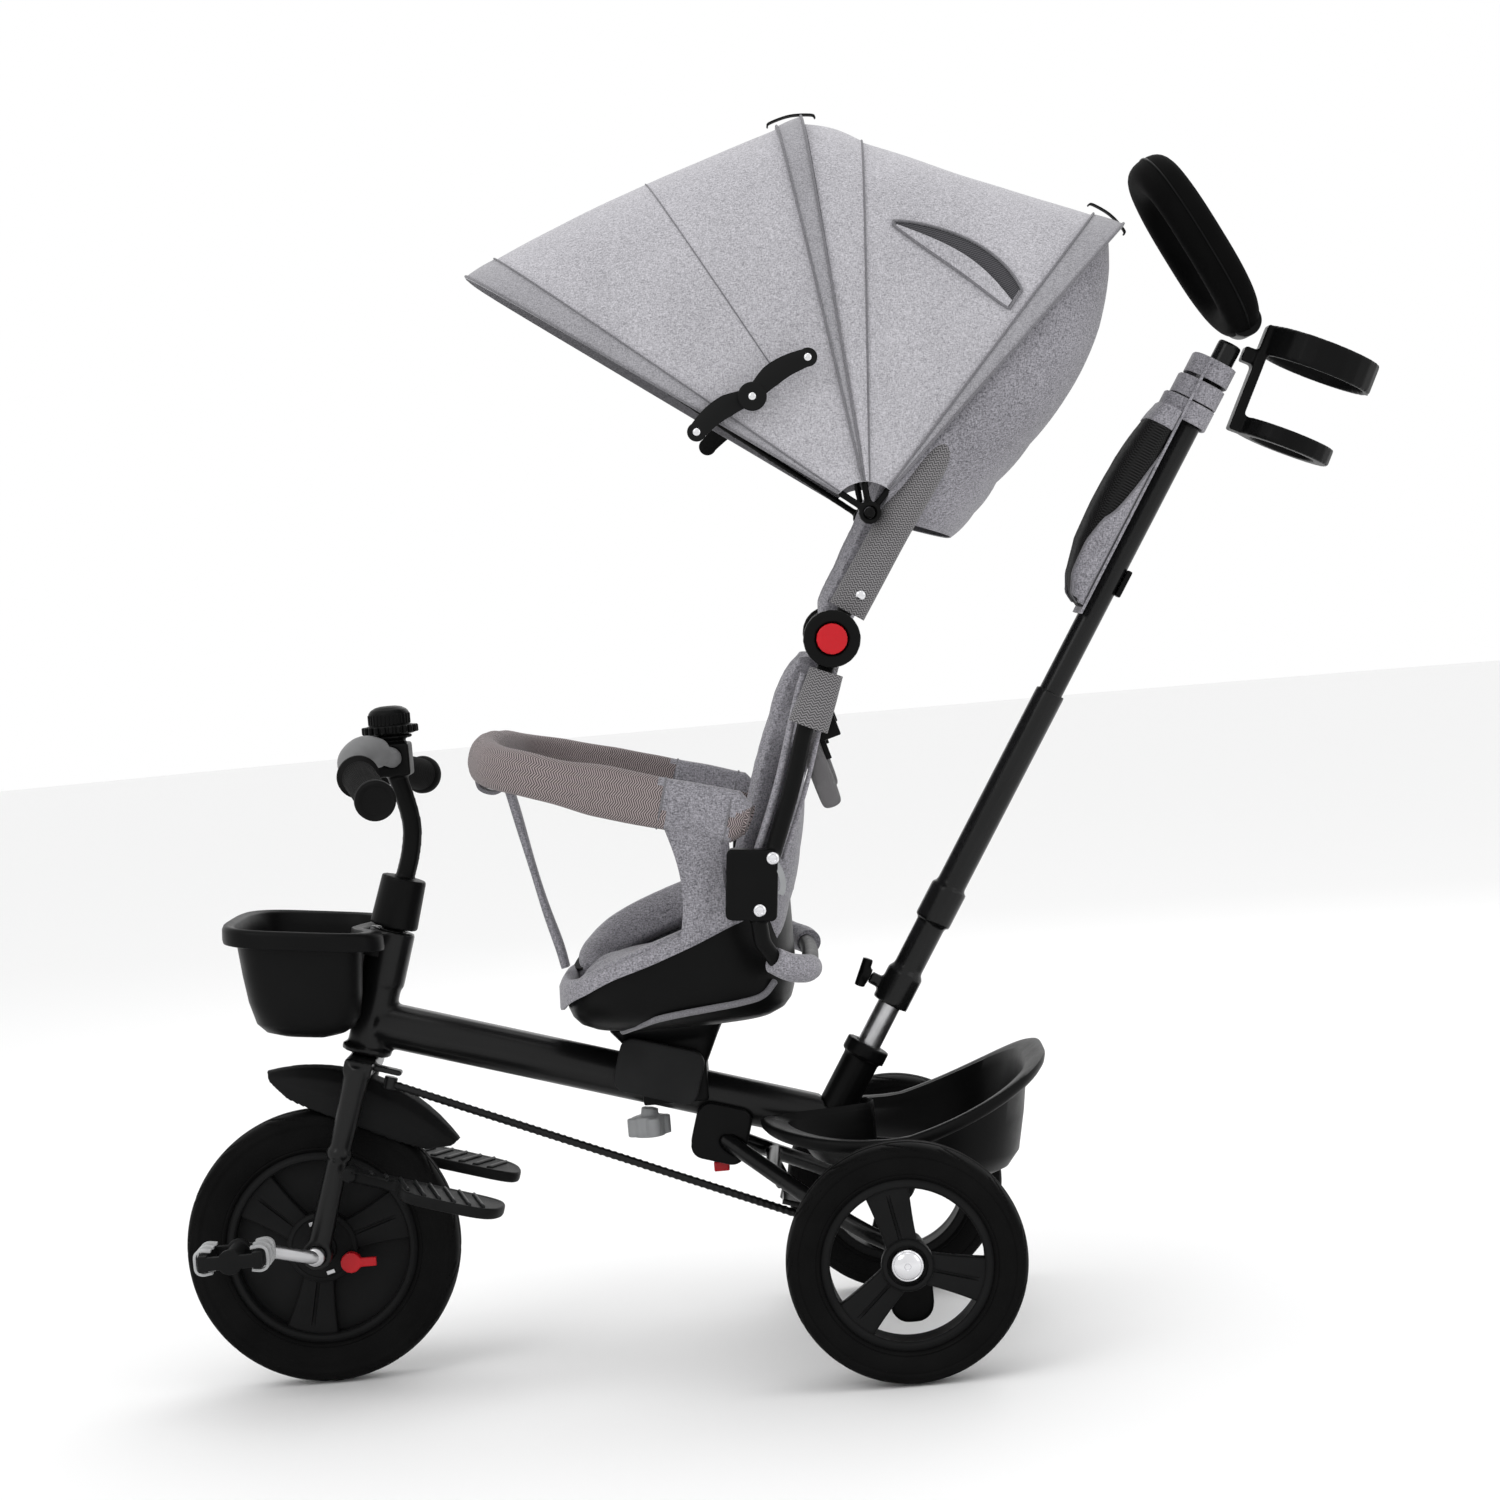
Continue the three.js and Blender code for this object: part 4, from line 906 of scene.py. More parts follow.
def pedals_and_crank():
    a = rad(164)
    for name, sign in (("left", -1), ("right", 1)):
        k = -sign
        end = AXLE + Vector((math.cos(a), 0, math.sin(a))) * (0.064 * k)
        g = Geo()
        body = knob_turned(end + Vector((0, sign * 0.0955, 0)), (0, sign, 0),
                [(0, 2), (5.6, 2), (5.6, 0), (11, 0), (11, 6), (8.6, 8), (8.6, 50), (11, 52), (11, 59),
                (8, 59.5), (0, 59.5)], 1.0, 40)
        g.join(body, 0)
        for dx in (-24, 24):
            g.join(brick(end + Vector((dx / 1000, sign * 0.125, 0)), (9, 60, 15), edge=2.2), 0)
        for dy in (-27, 27):
            g.join(brick(end + Vector((0, sign * 0.125 + dy / 1000, 0)), (46, 7, 12), edge=2.0), 0)
        # bright treads wrapped round the two rails, like a row of flat hooks
        for dx in (-1, 1):
            for dy in (-17, 0, 17):
                c = end + Vector((dx * 0.0245, sign * 0.125 + dy / 1000, 0))
                pts = [(-dx * 7, 9.6), (dx * 1.5, 10.6), (dx * 6.8, 7.5), (dx * 7.6, 0), (dx * 6.8, -7.5),
                        (dx * 1.5, -10.6), (-dx * 7, -9.6)]
                path = [c + Vector((px / 1000, 0, pz / 1000)) for px, pz in pts]
                hook = sweep(smooth_path(path, 4), lambda i,
                        u: [(-3.6, -1.2), (3.6, -1.2), (3.9, 0), (3.6, 1.2), (-3.6, 1.2), (-3.9, 0)],
                        up=(0, 1, 0), fixed=True)
                g.join(hook, 1)
        g.piece("pedal_treads_" + name, [BLACK_SOFT, METAL_GREY], "pedal_" + name, "black_plastic",
                ["pedal_" + name], sharp=45)
    g = Geo()
    g.join(knob_turned(AXLE + Vector((0, -0.066, 0)), (0, 1, 0), [(0, 0), (8, 0), (8, 132), (0, 132)], 1.4, 40))
    for sign in (-1, 1):
        k = -sign
        end = AXLE + Vector((math.cos(a), 0, math.sin(a))) * (0.064 * k)

        def mid(t, y):
            p = AXLE.lerp(end, t)
            return Vector((p.x, sign * y / 1000, p.z))
        g.join(tube([mid(0, 60), mid(0.02, 66), mid(0.16, 70.5), mid(0.5, 74.5), mid(0.84, 79.5), mid(0.98, 84),
                mid(1, 90), mid(1, 96)], 6.0, 24, 5))
        g.join(knob_turned(mid(1, 88), (0, sign, 0), [(0, 0), (5, 0), (5, 64), (0, 64)], 0.8, 24))
        g.join(knob_turned(mid(0, 60), (0, sign, 0), [(0, 0), (8.4, 0), (8.4, 7), (5, 9), (0, 9)], 1.0, 32))
    g.piece("crank_bar", STEEL, "crank", "chrome", ["crank"])


METAL_GREY = plastic("bright_tread", grey(0.42, -0.01), 0.33, 0.6)


def handlebar_parts():
    # grips: ribbed barrel with a flange and a closed end
    for name, sign in (("left", -1), ("right", 1)):
        a, b = V(-366, sign * 82, 554), V(-339, sign * 192, 537)
        d = (b - a).normalized()
        prof = [(0, 117), (10.4, 117), (10.4, 4), (17.0, 4), (19.2, 5.2), (19.2, 8.6), (16.5, 10.5)]
        s = 14
        while s < 106:
            prof += [(14.6, s), (15.4, s + 1.0), (15.4, s + 2.6), (14.6, s + 3.4)]
            s += 4.6
        prof += [(15.6, 110), (17.6, 112.5), (18.2, 116), (17.8, 120), (15.8, 121.8), (13.5, 121.4),
                (12.6, 120.6), (0, 120.4)]
        g = turned(a, d, prof, 56)
        g.piece("grip_sleeve_" + name, GRIP, "steering", "grip_rubber", ["grip_" + name], sharp=40)
        # grey shells over the bends of the bar
        pts = [V(-352, sign * 30, 570), V(-362, sign * 47, 572.5), V(-370, sign * 62, 567),
                V(-370.5, sign * 72, 561), V(-367.5, sign * 80, 556)]
        shell = sweep(smooth_path(pts, 6), lambda i,
                u: circle(11.4 + 3.6 * math.sin(math.pi * min(1, 0.15 + 0.85 * u)) ** 0.8, 32))
        shell.piece("bar_shell_" + name, TUBE_GREY, "steering", "grey_plastic", sharp=60)
    pts = [(-341, 0, 562), (-344, 24, 566), (-361, 47, 572), (-371, 64, 566), (-366, 82, 554), (-339, 192, 537)]
    path = [V(x, -y, z) for x, y, z in reversed(pts)] + [V(x, y, z) for x, y, z in pts[1:]]
    tube(path, 9, 28, 8).piece("handlebar_tube", TUBE_GREY, "steering", "grey_tube", ["handlebar"])
    # bell: knurled ring under a stepped cap
    c = V(-343, 0, 584.8)
    g = turned(c, (0, 0, 1), rounded_profile([(0, 0), (20, 0), (23, 1), (23, 8), (18.6, 9), (18.6, 19.5),
            (16.5, 22.5), (12, 25), (7, 26), (0, 26.2)], 1.2), 72)
    for i in range(22):
        t = 2 * math.pi * i / 22
        g.join(tube([c + Vector((0.0236 * math.cos(t), 0.0236 * math.sin(t), 0.0012)),
                c + Vector((0.0236 * math.cos(t), 0.0236 * math.sin(t), 0.0080))], 2.3, 12, 2))
    for i in range(30):
        t = 2 * math.pi * i / 30
        g.join(tube([c + Vector((0.0186 * math.cos(t), 0.0186 * math.sin(t), 0.0092)),
                c + Vector((0.0186 * math.cos(t), 0.0186 * math.sin(t), 0.0190))], 0.8, 8, 2))
    g.piece("bell_cap", BLACK, "bell", "black_plastic", ["bell_dome"])


def steering_bar():
    """The twisted-looking rod from the fork to the lever under the rear end, with an eye at each end."""
    front = on_steer(171, -33, 30) - STEER * 0.008
    rear = V(-16, -33, 138) - STEER * 0.016 + Vector((STEER.z, 0, -STEER.x)) * 0.030
    n = 260
    path = [front.lerp(rear, i / n) for i in range(n + 1)]

    def section(i, u):
        ph = i / n * 2 * math.pi * 34
        out = []
        for k in range(18):
            t = 2 * math.pi * k / 18
            r = 3.35 + 0.65 * max(0.0, math.cos(2 * (t - ph)))
            out.append((r * math.cos(t), r * math.sin(t)))
        return out
    g = sweep(path, section)
    for p, hi in ((front, 6.2), (rear, 4.8)):
        g.join(knob_turned(p - STEER * 0.005, STEER, [(0, 0), (6, 0), (6, 5 + hi), (0, 5 + hi)], 1.0, 28))
    g.piece("steering_rod_bar", PAINT, "steering_rod", "black_paint", ["steering_rod"], sharp=60)


def refine_rest():
    for node, mat, voxel, passes in (
            ("main_frame", PAINT, 1.7, 12), ("fork", PAINT, 1.7, 10), ("stem", BLACK, 1.5, 6),
            ("seat_post", BLACK, 1.8, 5),
            ("post_cover", COVER, 1.5, 5), ("seat_knob", GREY_PLASTIC, 1.2, 4), ("fold_latch", BLACK, 1.3, 4),
            ("latch_tab", RED, 0.9, 3),
            ("rear_frame", PAINT, 1.7, 8), ("handle_socket", BLACK, 1.5, 5), ("steer_lever", PAINT, 1.3, 3),
            ("brake_pedal", BLACK, 1.5, 6), ("mudguard", BLACK_SOFT, 1.3, 10), ("clutch_knob", RED, 1.0, 3),
            ("back_frame_lower", BLACK, 1.6, 8), ("back_frame_upper", BLACK, 1.6, 8),
            ("recline_button_left", RED, 1.0, 4), ("recline_button_right", RED, 1.0, 4),
            ("hood_bow_rear", BLACK, 1.4, 5), ("hood_bow_mid", BLACK, 1.4, 5),
            ("hood_bow_front", BLACK, 1.4, 5),
            ("handle_post", STEEL, 1.2, 6), ("handle_mid_tube", SATIN, 1.5, 8), ("clamp_knob", BLACK, 1.1, 5),
            ("handle_upper_tube", SATIN, 1.5, 10), ("cup_holder", BLACK, 1.6, 6)):
        refine(node, mat, voxel, passes)


front_basket()
rear_basket()
footrests()
pedals_and_crank()
handlebar_parts()
steering_bar()
refine_rest()

# ---------------------------------------------------------------- seat, back and safety bar
CLOTH_PRESSURE = 4.0
CLOTH_FRAMES = 20


def puff(o, cap=8.0, voxel=5.0):
    """Inflates a padded piece as cloth, holds back any point that moves more than cap mm, and applies the result."""
    mesh = o.data
    bm = bmesh.new()
    bm.from_mesh(mesh)
    bmesh.ops.recalc_face_normals(bm, faces=bm.faces)
    bm.to_mesh(mesh)
    bm.free()
    body, parent = o.get("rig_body"), o.parent
    o.parent = None
    for other in bpy.context.selected_objects:
        other.select_set(False)
    bpy.context.view_layer.objects.active = o
    o.select_set(True)
    r = o.modifiers.new("remesh", "REMESH")
    r.mode = "VOXEL"
    r.voxel_size = voxel / 1000
    bpy.ops.object.modifier_apply(modifier=r.name)
    rest = [v.co.copy() for v in o.data.vertices]
    c = o.modifiers.new("cloth", "CLOTH")
    s = c.settings
    s.use_pressure = True
    s.uniform_pressure_force = CLOTH_PRESSURE
    s.effector_weights.gravity = 0
    s.quality = 5
    s.mass = 0.3
    s.tension_stiffness = s.compression_stiffness = 12
    s.bending_stiffness = 0.6
    c.collision_settings.use_collision = False
    scene = bpy.context.scene
    for f in range(1, CLOTH_FRAMES + 1):
        scene.frame_set(f)
    dg = bpy.context.evaluated_depsgraph_get()
    moved = [v.co.copy() for v in o.evaluated_get(dg).data.vertices]
    o.modifiers.remove(c)
    scene.frame_set(1)
    for v, a, b in zip(o.data.vertices, rest, moved):
        d = b - a
        lim = cap / 1000
        if d.length > lim:
            d = d.normalized() * (lim * (1 + 0.15 * math.tanh((d.length - lim) / lim)))
        v.co = a + d
    sm = o.modifiers.new("smooth", "SMOOTH")
    sm.factor = 0.5
    sm.iterations = 3
    bpy.ops.object.modifier_apply(modifier=sm.name)
    d = o.modifiers.new("subdiv", "SUBSURF")
    d.levels = d.render_levels = 1
    for p in o.data.polygons:
        p.use_smooth = True
    o.select_set(False)
    if parent:
        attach(o, body)
    return o


def press(o, lines, depth=4.0, width=7.0):
    """Presses sewn channels into a pad: lines are functions giving the distance in metres of a point from a seam."""
    for v in o.data.vertices:
        total = 0.0
        for line in lines:
            d = line(v.co) * 1000 / width
            total += math.exp(-d * d)
        if total > 1e-3:
            v.co = v.co - v.normal * (depth / 1000 * min(total, 1.0))


def seat_rim(x):
    return 347 + max(0.0, x + 200) * 0.36


def oval(cx, a, b, power, deg):
    c, s = math.cos(rad(deg)), math.sin(rad(deg))
    return cx + a * math.copysign(abs(c) ** (2 / power), c), b * math.copysign(abs(s) ** (2 / power), s)


def seat_liner():
    # cushion in the bowl
    rings = []
    for a, b, z, n in ((70, 84, 322, 2.6), (84, 100, 324, 2.8), (92, 112, 330, 3), (97, 119, 340, 3),
            (97, 119, 350, 3), (91, 112, 358, 3),
                       (76, 96, 362, 2.8), (50, 66, 363, 2.6), (20, 26, 363.5, 2.2)):
        rings.append(outline(-99, a, b, n, (lambda x, z=z: z + 0.05 * (x + 99)), 72))
    g = skin(rings)
    o = g.piece("seat_cushion", SEAT, "frame", "grey_fabric", ["seat_pad"])
    puff(o, 7, 4.5)
    press(o, [lambda p: abs(p.y - 0.052) if p.z > V(0, 0, 345).z else 1,
            lambda p: abs(p.y + 0.052) if p.z > V(0, 0, 345).z else 1,
              lambda p: abs(p.x - V(-120, 0, 0).x) if p.z > V(0, 0, 345).z and abs(p.y) < 0.052 else 1], 4.5, 6)
    # bolsters of the liner, lying along the rim of the shell
    for name, sign, high, thick in (("left", -1, 8, 9), ("right", 1, 34, 15)):
        path, tall = [], []
        for i in range(49):
            u = i / 48
            x, y = oval(-98, 104 - 12, 141 - 12, 3, 168 - 96 * u)
            rise = math.sin(min(1.0, 0.06 + u * 1.25) * math.pi / 2) ** 0.9
            path.append(V(x, sign * (y - 3 * rise), seat_rim(x) - 10 + (8 + 0.5 * high) * rise))
            tall.append(9 + 0.62 * high * rise)
        g = sweep(path, lambda i,
                u: [(thick * (0.75 + 0.25 * math.sin(math.pi * min(1, 3 * u))) * math.cos(2 * math.pi * k / 28),
                tall[i] * math.sin(2 * math.pi * k / 28)) for k in range(28)],
                  up=(0, 0, 1), fixed=False)
        w = g.piece("seat_bolster_" + name, SEAT, "frame", "grey_fabric")
        puff(w, 3.5, 4.0)
    # dark webbing across the front of the far bolster
    pts = [V(-196, 44, 352), V(-190, 78, 360), V(-176, 104, 368), V(-150, 120, 377), V(-118, 126, 388)]
    g = sweep(smooth_path(pts, 8), lambda i,
            u: [(-0.8, -5), (0.8, -5), (1.0, 0), (0.8, 5), (-0.8, 5), (-1.0, 0)], up=(0, 0, 1))
    g.piece("seat_webbing", LINING_BLACK, "frame", "black_fabric", sharp=60)
    # liner skirt: a band folded over the shell's rim, light grey, all the way round
    rings = []
    n = 144
    for i in range(n):
        deg = 360 * i / n
        lip = max(0.0, -math.cos(rad(deg))) ** 5
        drop = -6.0 - 15 * lip + 0.8 * math.sin(rad(deg) * 9)
        prof = [(-6.0, -14), (-5.6, -3), (-4.2, 4.0), (-1.4, 6.6 + lip), (1.4, 6.8 + lip), (4.0, 4.4),
                (5.2 + lip, 0), (5.4 + 1.6 * lip, drop + 2.4), (5.0 + 1.6 * lip, drop),
                (3.4, drop - 0.2), (2.8, drop + 2), (2.0, -3), (0.8, 1.2), (-1.2, 1.0), (-2.2, -4), (-2.9, -13)]
        ring = []
        for off, h in prof:
            x, y = oval(-98, 104 + off, 141 + off, 3, deg)
            ring.append(V(x, y, seat_rim(x) + h))
        rings.append(ring)
    skin(rings, closed=True, caps=False).piece("seat_rim_band", SEAT, "frame", "grey_fabric", sharp=70)
    # light piping low on the shell, front to back on each side
    for name, sign in (("left", -1), ("right", 1)):
        pts = [V(-152, sign * 76, 306), V(-137, sign * 106, 313), V(-118, sign * 126, 320),
                V(-92, sign * 131.5, 324), V(-66, sign * 130.5, 326.5),
               V(-43, sign * 125, 328.5), V(-24, sign * 115, 332), V(-12, sign * 107, 343)]
        tube(pts, 3.0, 14, 8).piece("seat_lower_piping_" + name, BIND, "frame", "grey_fabric", sharp=60)
    # the moulded shell itself
    levels = ((26, 26, 303.4, 2.4), (56, 58, 303.4, 2.6), (66, 70, 304.2, 2.8), (84, 94, 307.6, 3),
            (94, 112, 313, 3), (99.6, 124.5, 320, 3), (102.4, 131, 328, 3), (104, 136, 338, 3))
    rings = [outline(-99, a, b, n, z, 144) for a, b, z, n in levels]
    for k in (0.2, 0.45, 0.7, 0.9, 1.0):
        rings.append(outline(-98, 104 + 0.3 * k, 136 + 5.2 * k, 3,
                (lambda x, k=k: 338 + (seat_rim(x) - 338) * k), 144))
    for a, b in ((103.0, 140.2), (101.2, 138.2)):
        rings.append(outline(-98, a, b, 3, (lambda x: seat_rim(x) + 0.6), 144))
    rings.append(outline(-98, 100.4, 137.2, 3, (lambda x: seat_rim(x) - 14), 144))
    rings.append(outline(-98, 99, 128, 3, 330, 144))
    rings.append(outline(-98, 88, 110, 3, 314, 144))
    rings.append(outline(-98, 40, 50, 2.6, 308, 144))
    skin(rings).piece("seat_shell_body", BLACK, "frame", "black_plastic", ["seat_shell"], sharp=50)


def back_surface(u):
    """Front line of the backrest, from the seat (u = 0) to the top (u = 1): x, z and half the width there."""
    key = [(-30, 366, 92), (-33, 412, 104), (-22, 460, 112), (-2, 520, 116), (22, 584, 120), (52, 640, 124),
            (88, 698, 128), (118, 750, 128), (140, 796, 118)]
    x = u * (len(key) - 1)
    i = min(int(x), len(key) - 2)
    t = x - i
    a, b = key[i], key[i + 1]
    px, pz, half = (a[j] + (b[j] - a[j]) * t for j in range(3))
    return px, pz, half


def back_pad(name, body, node, u0, u1):
    rows, cols, thick = 30, 26, 17
    front, rear = [], []
    for i in range(rows + 1):
        u = u0 + (u1 - u0) * i / rows
        x, z, half = back_surface(u)
        x2, z2, _ = back_surface(min(u + 0.01, 1))
        x1, z1, _ = back_surface(max(u - 0.01, 0))
        n = Vector((z2 - z1, 0, -(x2 - x1))).normalized()      # towards the rear
        edge = min(1.0, 8 * min(i / rows, 1 - i / rows) + 0.25) ** 0.5
        fr, rr = [], []
        for j in range(cols + 1):
            v = -1 + 2 * j / cols
            y = half * v
            wing = -20 * max(0.0, abs(v) - 0.55) ** 1.5 / 0.45 ** 1.5
            t = thick * edge * max(0.0, 1 - abs(v) ** 8) ** 0.5
            fr.append(V(x - n.x * (t * 0.5 - wing) + 6 * n.x, y, z - n.z * (t * 0.5 - wing) + 6 * n.z))
            rr.append(V(x + n.x * (t * 0.5 + wing) + 6 * n.x, y, z + n.z * (t * 0.5 + wing) + 6 * n.z))
        front.append(fr)
        rear.append(rr)
    rings = [f + list(reversed(r)) for f, r in zip(front, rear)]
    g = skin(rings)
    o = g.piece(name, SEAT, body, "grey_fabric", node)
    puff(o, 5, 5.0)
    return o


def back():
    low = back_pad("back_cushion_lower", "frame", ["back_pad_lower"], 0.02, 0.60)
    lines = [lambda p: abs(abs(p.y) - 0.070), lambda p: abs(p.z - V(0, 0, 468).z) if abs(p.y) < 0.070 else 1,
             lambda p: abs(p.z - V(0, 0, 548).z) if abs(p.y) < 0.070 else 1]
    press(low, lines, 4.5, 6)
    up = back_pad("back_cushion_upper", "seat_back", ["back_pad_upper"], 0.635, 0.985)
    lines = [lambda p: abs(abs(p.y) - 0.074), lambda p: abs(p.z - V(0, 0, 716).z) if abs(p.y) < 0.074 else 1]
    press(up, lines, 4.5, 6)
    # the cloth that bridges the recline hinge behind the pads
    rows, cols = 24, 20
    grid = []
    for i in range(rows + 1):
        u = 0.50 + 0.22 * i / rows
        x, z, half = back_surface(u)
        grid.append([V(x + 13 + 2.0 * math.sin(9 * j / cols + 5 * i / rows), (half - 6) * (-1 + 2 * j / cols),
                z - 6) for j in range(cols + 1)])
    thick = [[p + Vector((0.002, 0, -0.0008)) for p in r] for r in grid]
    rings = [a + list(reversed(b)) for a, b in zip(grid, thick)]
    b = skin(rings).piece("back_bridge", SEAT, None, "grey_fabric")
    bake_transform(b)
    sheet_flat(grid)
    # mesh sleeves round the side tubes of the upper back
    for name, sign in (("left", -1), ("right", 1)):
        pts = [V(78, sign * 141, 662), V(98, sign * 141, 692), V(122, sign * 141, 728), V(146, sign * 141, 762),
                V(168, sign * 139, 794), V(184, sign * 132, 816)]
        path = smooth_path(pts, 8)
        g = sweep(path, lambda i,
                u: [(13.5 * c, (17 - 2 * u) * s) for c,
                s in ((math.cos(2 * math.pi * k / 26), math.sin(2 * math.pi * k / 26)) for k in range(26))],
                up=(0, 1, 0))
        o = g.piece("back_sleeve_" + name, SLEEVE, "seat_back", "mesh_fabric")
        pts = [V(56, sign * 158, 612), V(46, sign * 158, 588), V(36, sign * 158, 566)]
        path = smooth_path(pts, 10)
        g = sweep(path, lambda i,
                u: [((12.0 + 1.5 * u) * math.cos(2 * math.pi * k / 26),
                (15 + 3 * u) * math.sin(2 * math.pi * k / 26)) for k in range(26)], up=(0, 1, 0))
        g.piece("lower_sleeve_" + name, SLEEVE, "frame", "mesh_fabric")
    # rear skin of the lower back, hanging in a shallow bag
    rows, cols = 26, 24
    front = []
    for i in range(rows + 1):
        u = i / rows
        x, z, half = back_surface(0.05 + 0.40 * u)
        bag = 26 * math.sin(math.pi * min(1.0, 0.15 + 0.85 * u)) ** 0.8
        front.append([V(x + 16 + bag * (1 - (-1 + 2 * j / cols) ** 4) ** 0.5, (half + 8) * (-1 + 2 * j / cols),
                z - 8) for j in range(cols + 1)])
    inner = [[p - Vector((0.0022, 0, 0)) for p in r] for r in front]
    rings = [a + list(reversed(b)) for a, b in zip(front, inner)]
    o = skin(rings).piece("back_rear_skin", SEAT, "frame", "grey_fabric")
    sheet_flat(front)
    # rolled pad on the bend of the back tube, with bolts beside it and a rivet on the sleeve
    for name, sign in (("left", -1), ("right", 1)):
        g = sweep(smooth_path([V(-11, sign * 152, 366), V(2, sign * 143, 358), V(14, sign * 128, 354),
                V(19, sign * 108, 352.5)], 8),
                  lambda i, u: circle(11.5 + 1.0 * math.sin(math.pi * u), 30))
        g.piece("tube_roll_" + name, SEAT, "frame", "grey_fabric", sharp=60)
        bolts = Geo()
        for x, z in ((-4, 456), (-19, 412)):
            c = V(x, sign * 171, z)
            bolts.join(knob_turned(c + Vector((0, -sign * 0.002, 0)), (0, sign, 0),
                    [(0, 0), (5.6, 0), (5.6, 3.0), (3.6, 4.4), (3.2, 3.2), (0, 3.0)], 0.7, 36))
        bolts.piece("back_bolts_" + name, CHROME, "frame", "chrome")
        rv = knob_turned(V(91, sign * 153.5, 675), (0, sign, 0),
                [(0, 0), (4.4, 0), (4.4, 1.2), (2.8, 2.4), (0, 2.8)], 0.6, 32)
        rv.piece("sleeve_rivet_" + name, CHROME, "seat_back", "chrome")


def back_trim():
    """Piping beside the side tubes, with a small pocket and its clasp behind them, and a hook on the frame."""
    for name, sign in (("left", -1), ("right", 1)):
        for part, shift in (("front", -13.5), ("rear", 12.5)):
            pts = [V(50 + shift, sign * 150, 612), V(41 + shift, sign * 151, 588),
                    V(18 + shift, sign * 151, 516), V(-8 + shift, sign * 151, 452)]
            tube(pts, 3.2 if part == "front" else 2.2, 12, 8).piece("back_piping_%s_%s" % (part, name), SEAT,
                    "frame", "grey_fabric")
        box = brick(V(44, sign * 132, 522), (19, 26, 60), -16, edge=7)
        o = box.piece("side_pocket_" + name, SLEEVE, "frame", "mesh_fabric", sharp=80)
        o.modifiers.new("subdiv", "SUBSURF").render_levels = 2
        clasp = brick(V(52, sign * 140, 562), (20, 5, 18), -16, edge=1.2)
        clasp.join(brick(V(49, sign * 137, 546), (5, 3, 22), -16, edge=0.8))
        clasp.piece("pocket_clasp_" + name, BLACK, "frame", "black_plastic")
        hook = sweep(smooth_path([V(-2, sign * 168, 452), V(2, sign * 169, 442), V(3, sign * 169, 431),
                V(0, sign * 168, 424)], 6),
                     lambda i, u: [(-0.8, -2.6), (0.8, -2.6), (0.9, 0), (0.8, 2.6), (-0.8, 2.6), (-0.9, 0)],
                     up=(0, 1, 0), fixed=True)
        hook.piece("frame_hook_" + name, GREY_PLASTIC, "frame", "grey_fabric", sharp=50)


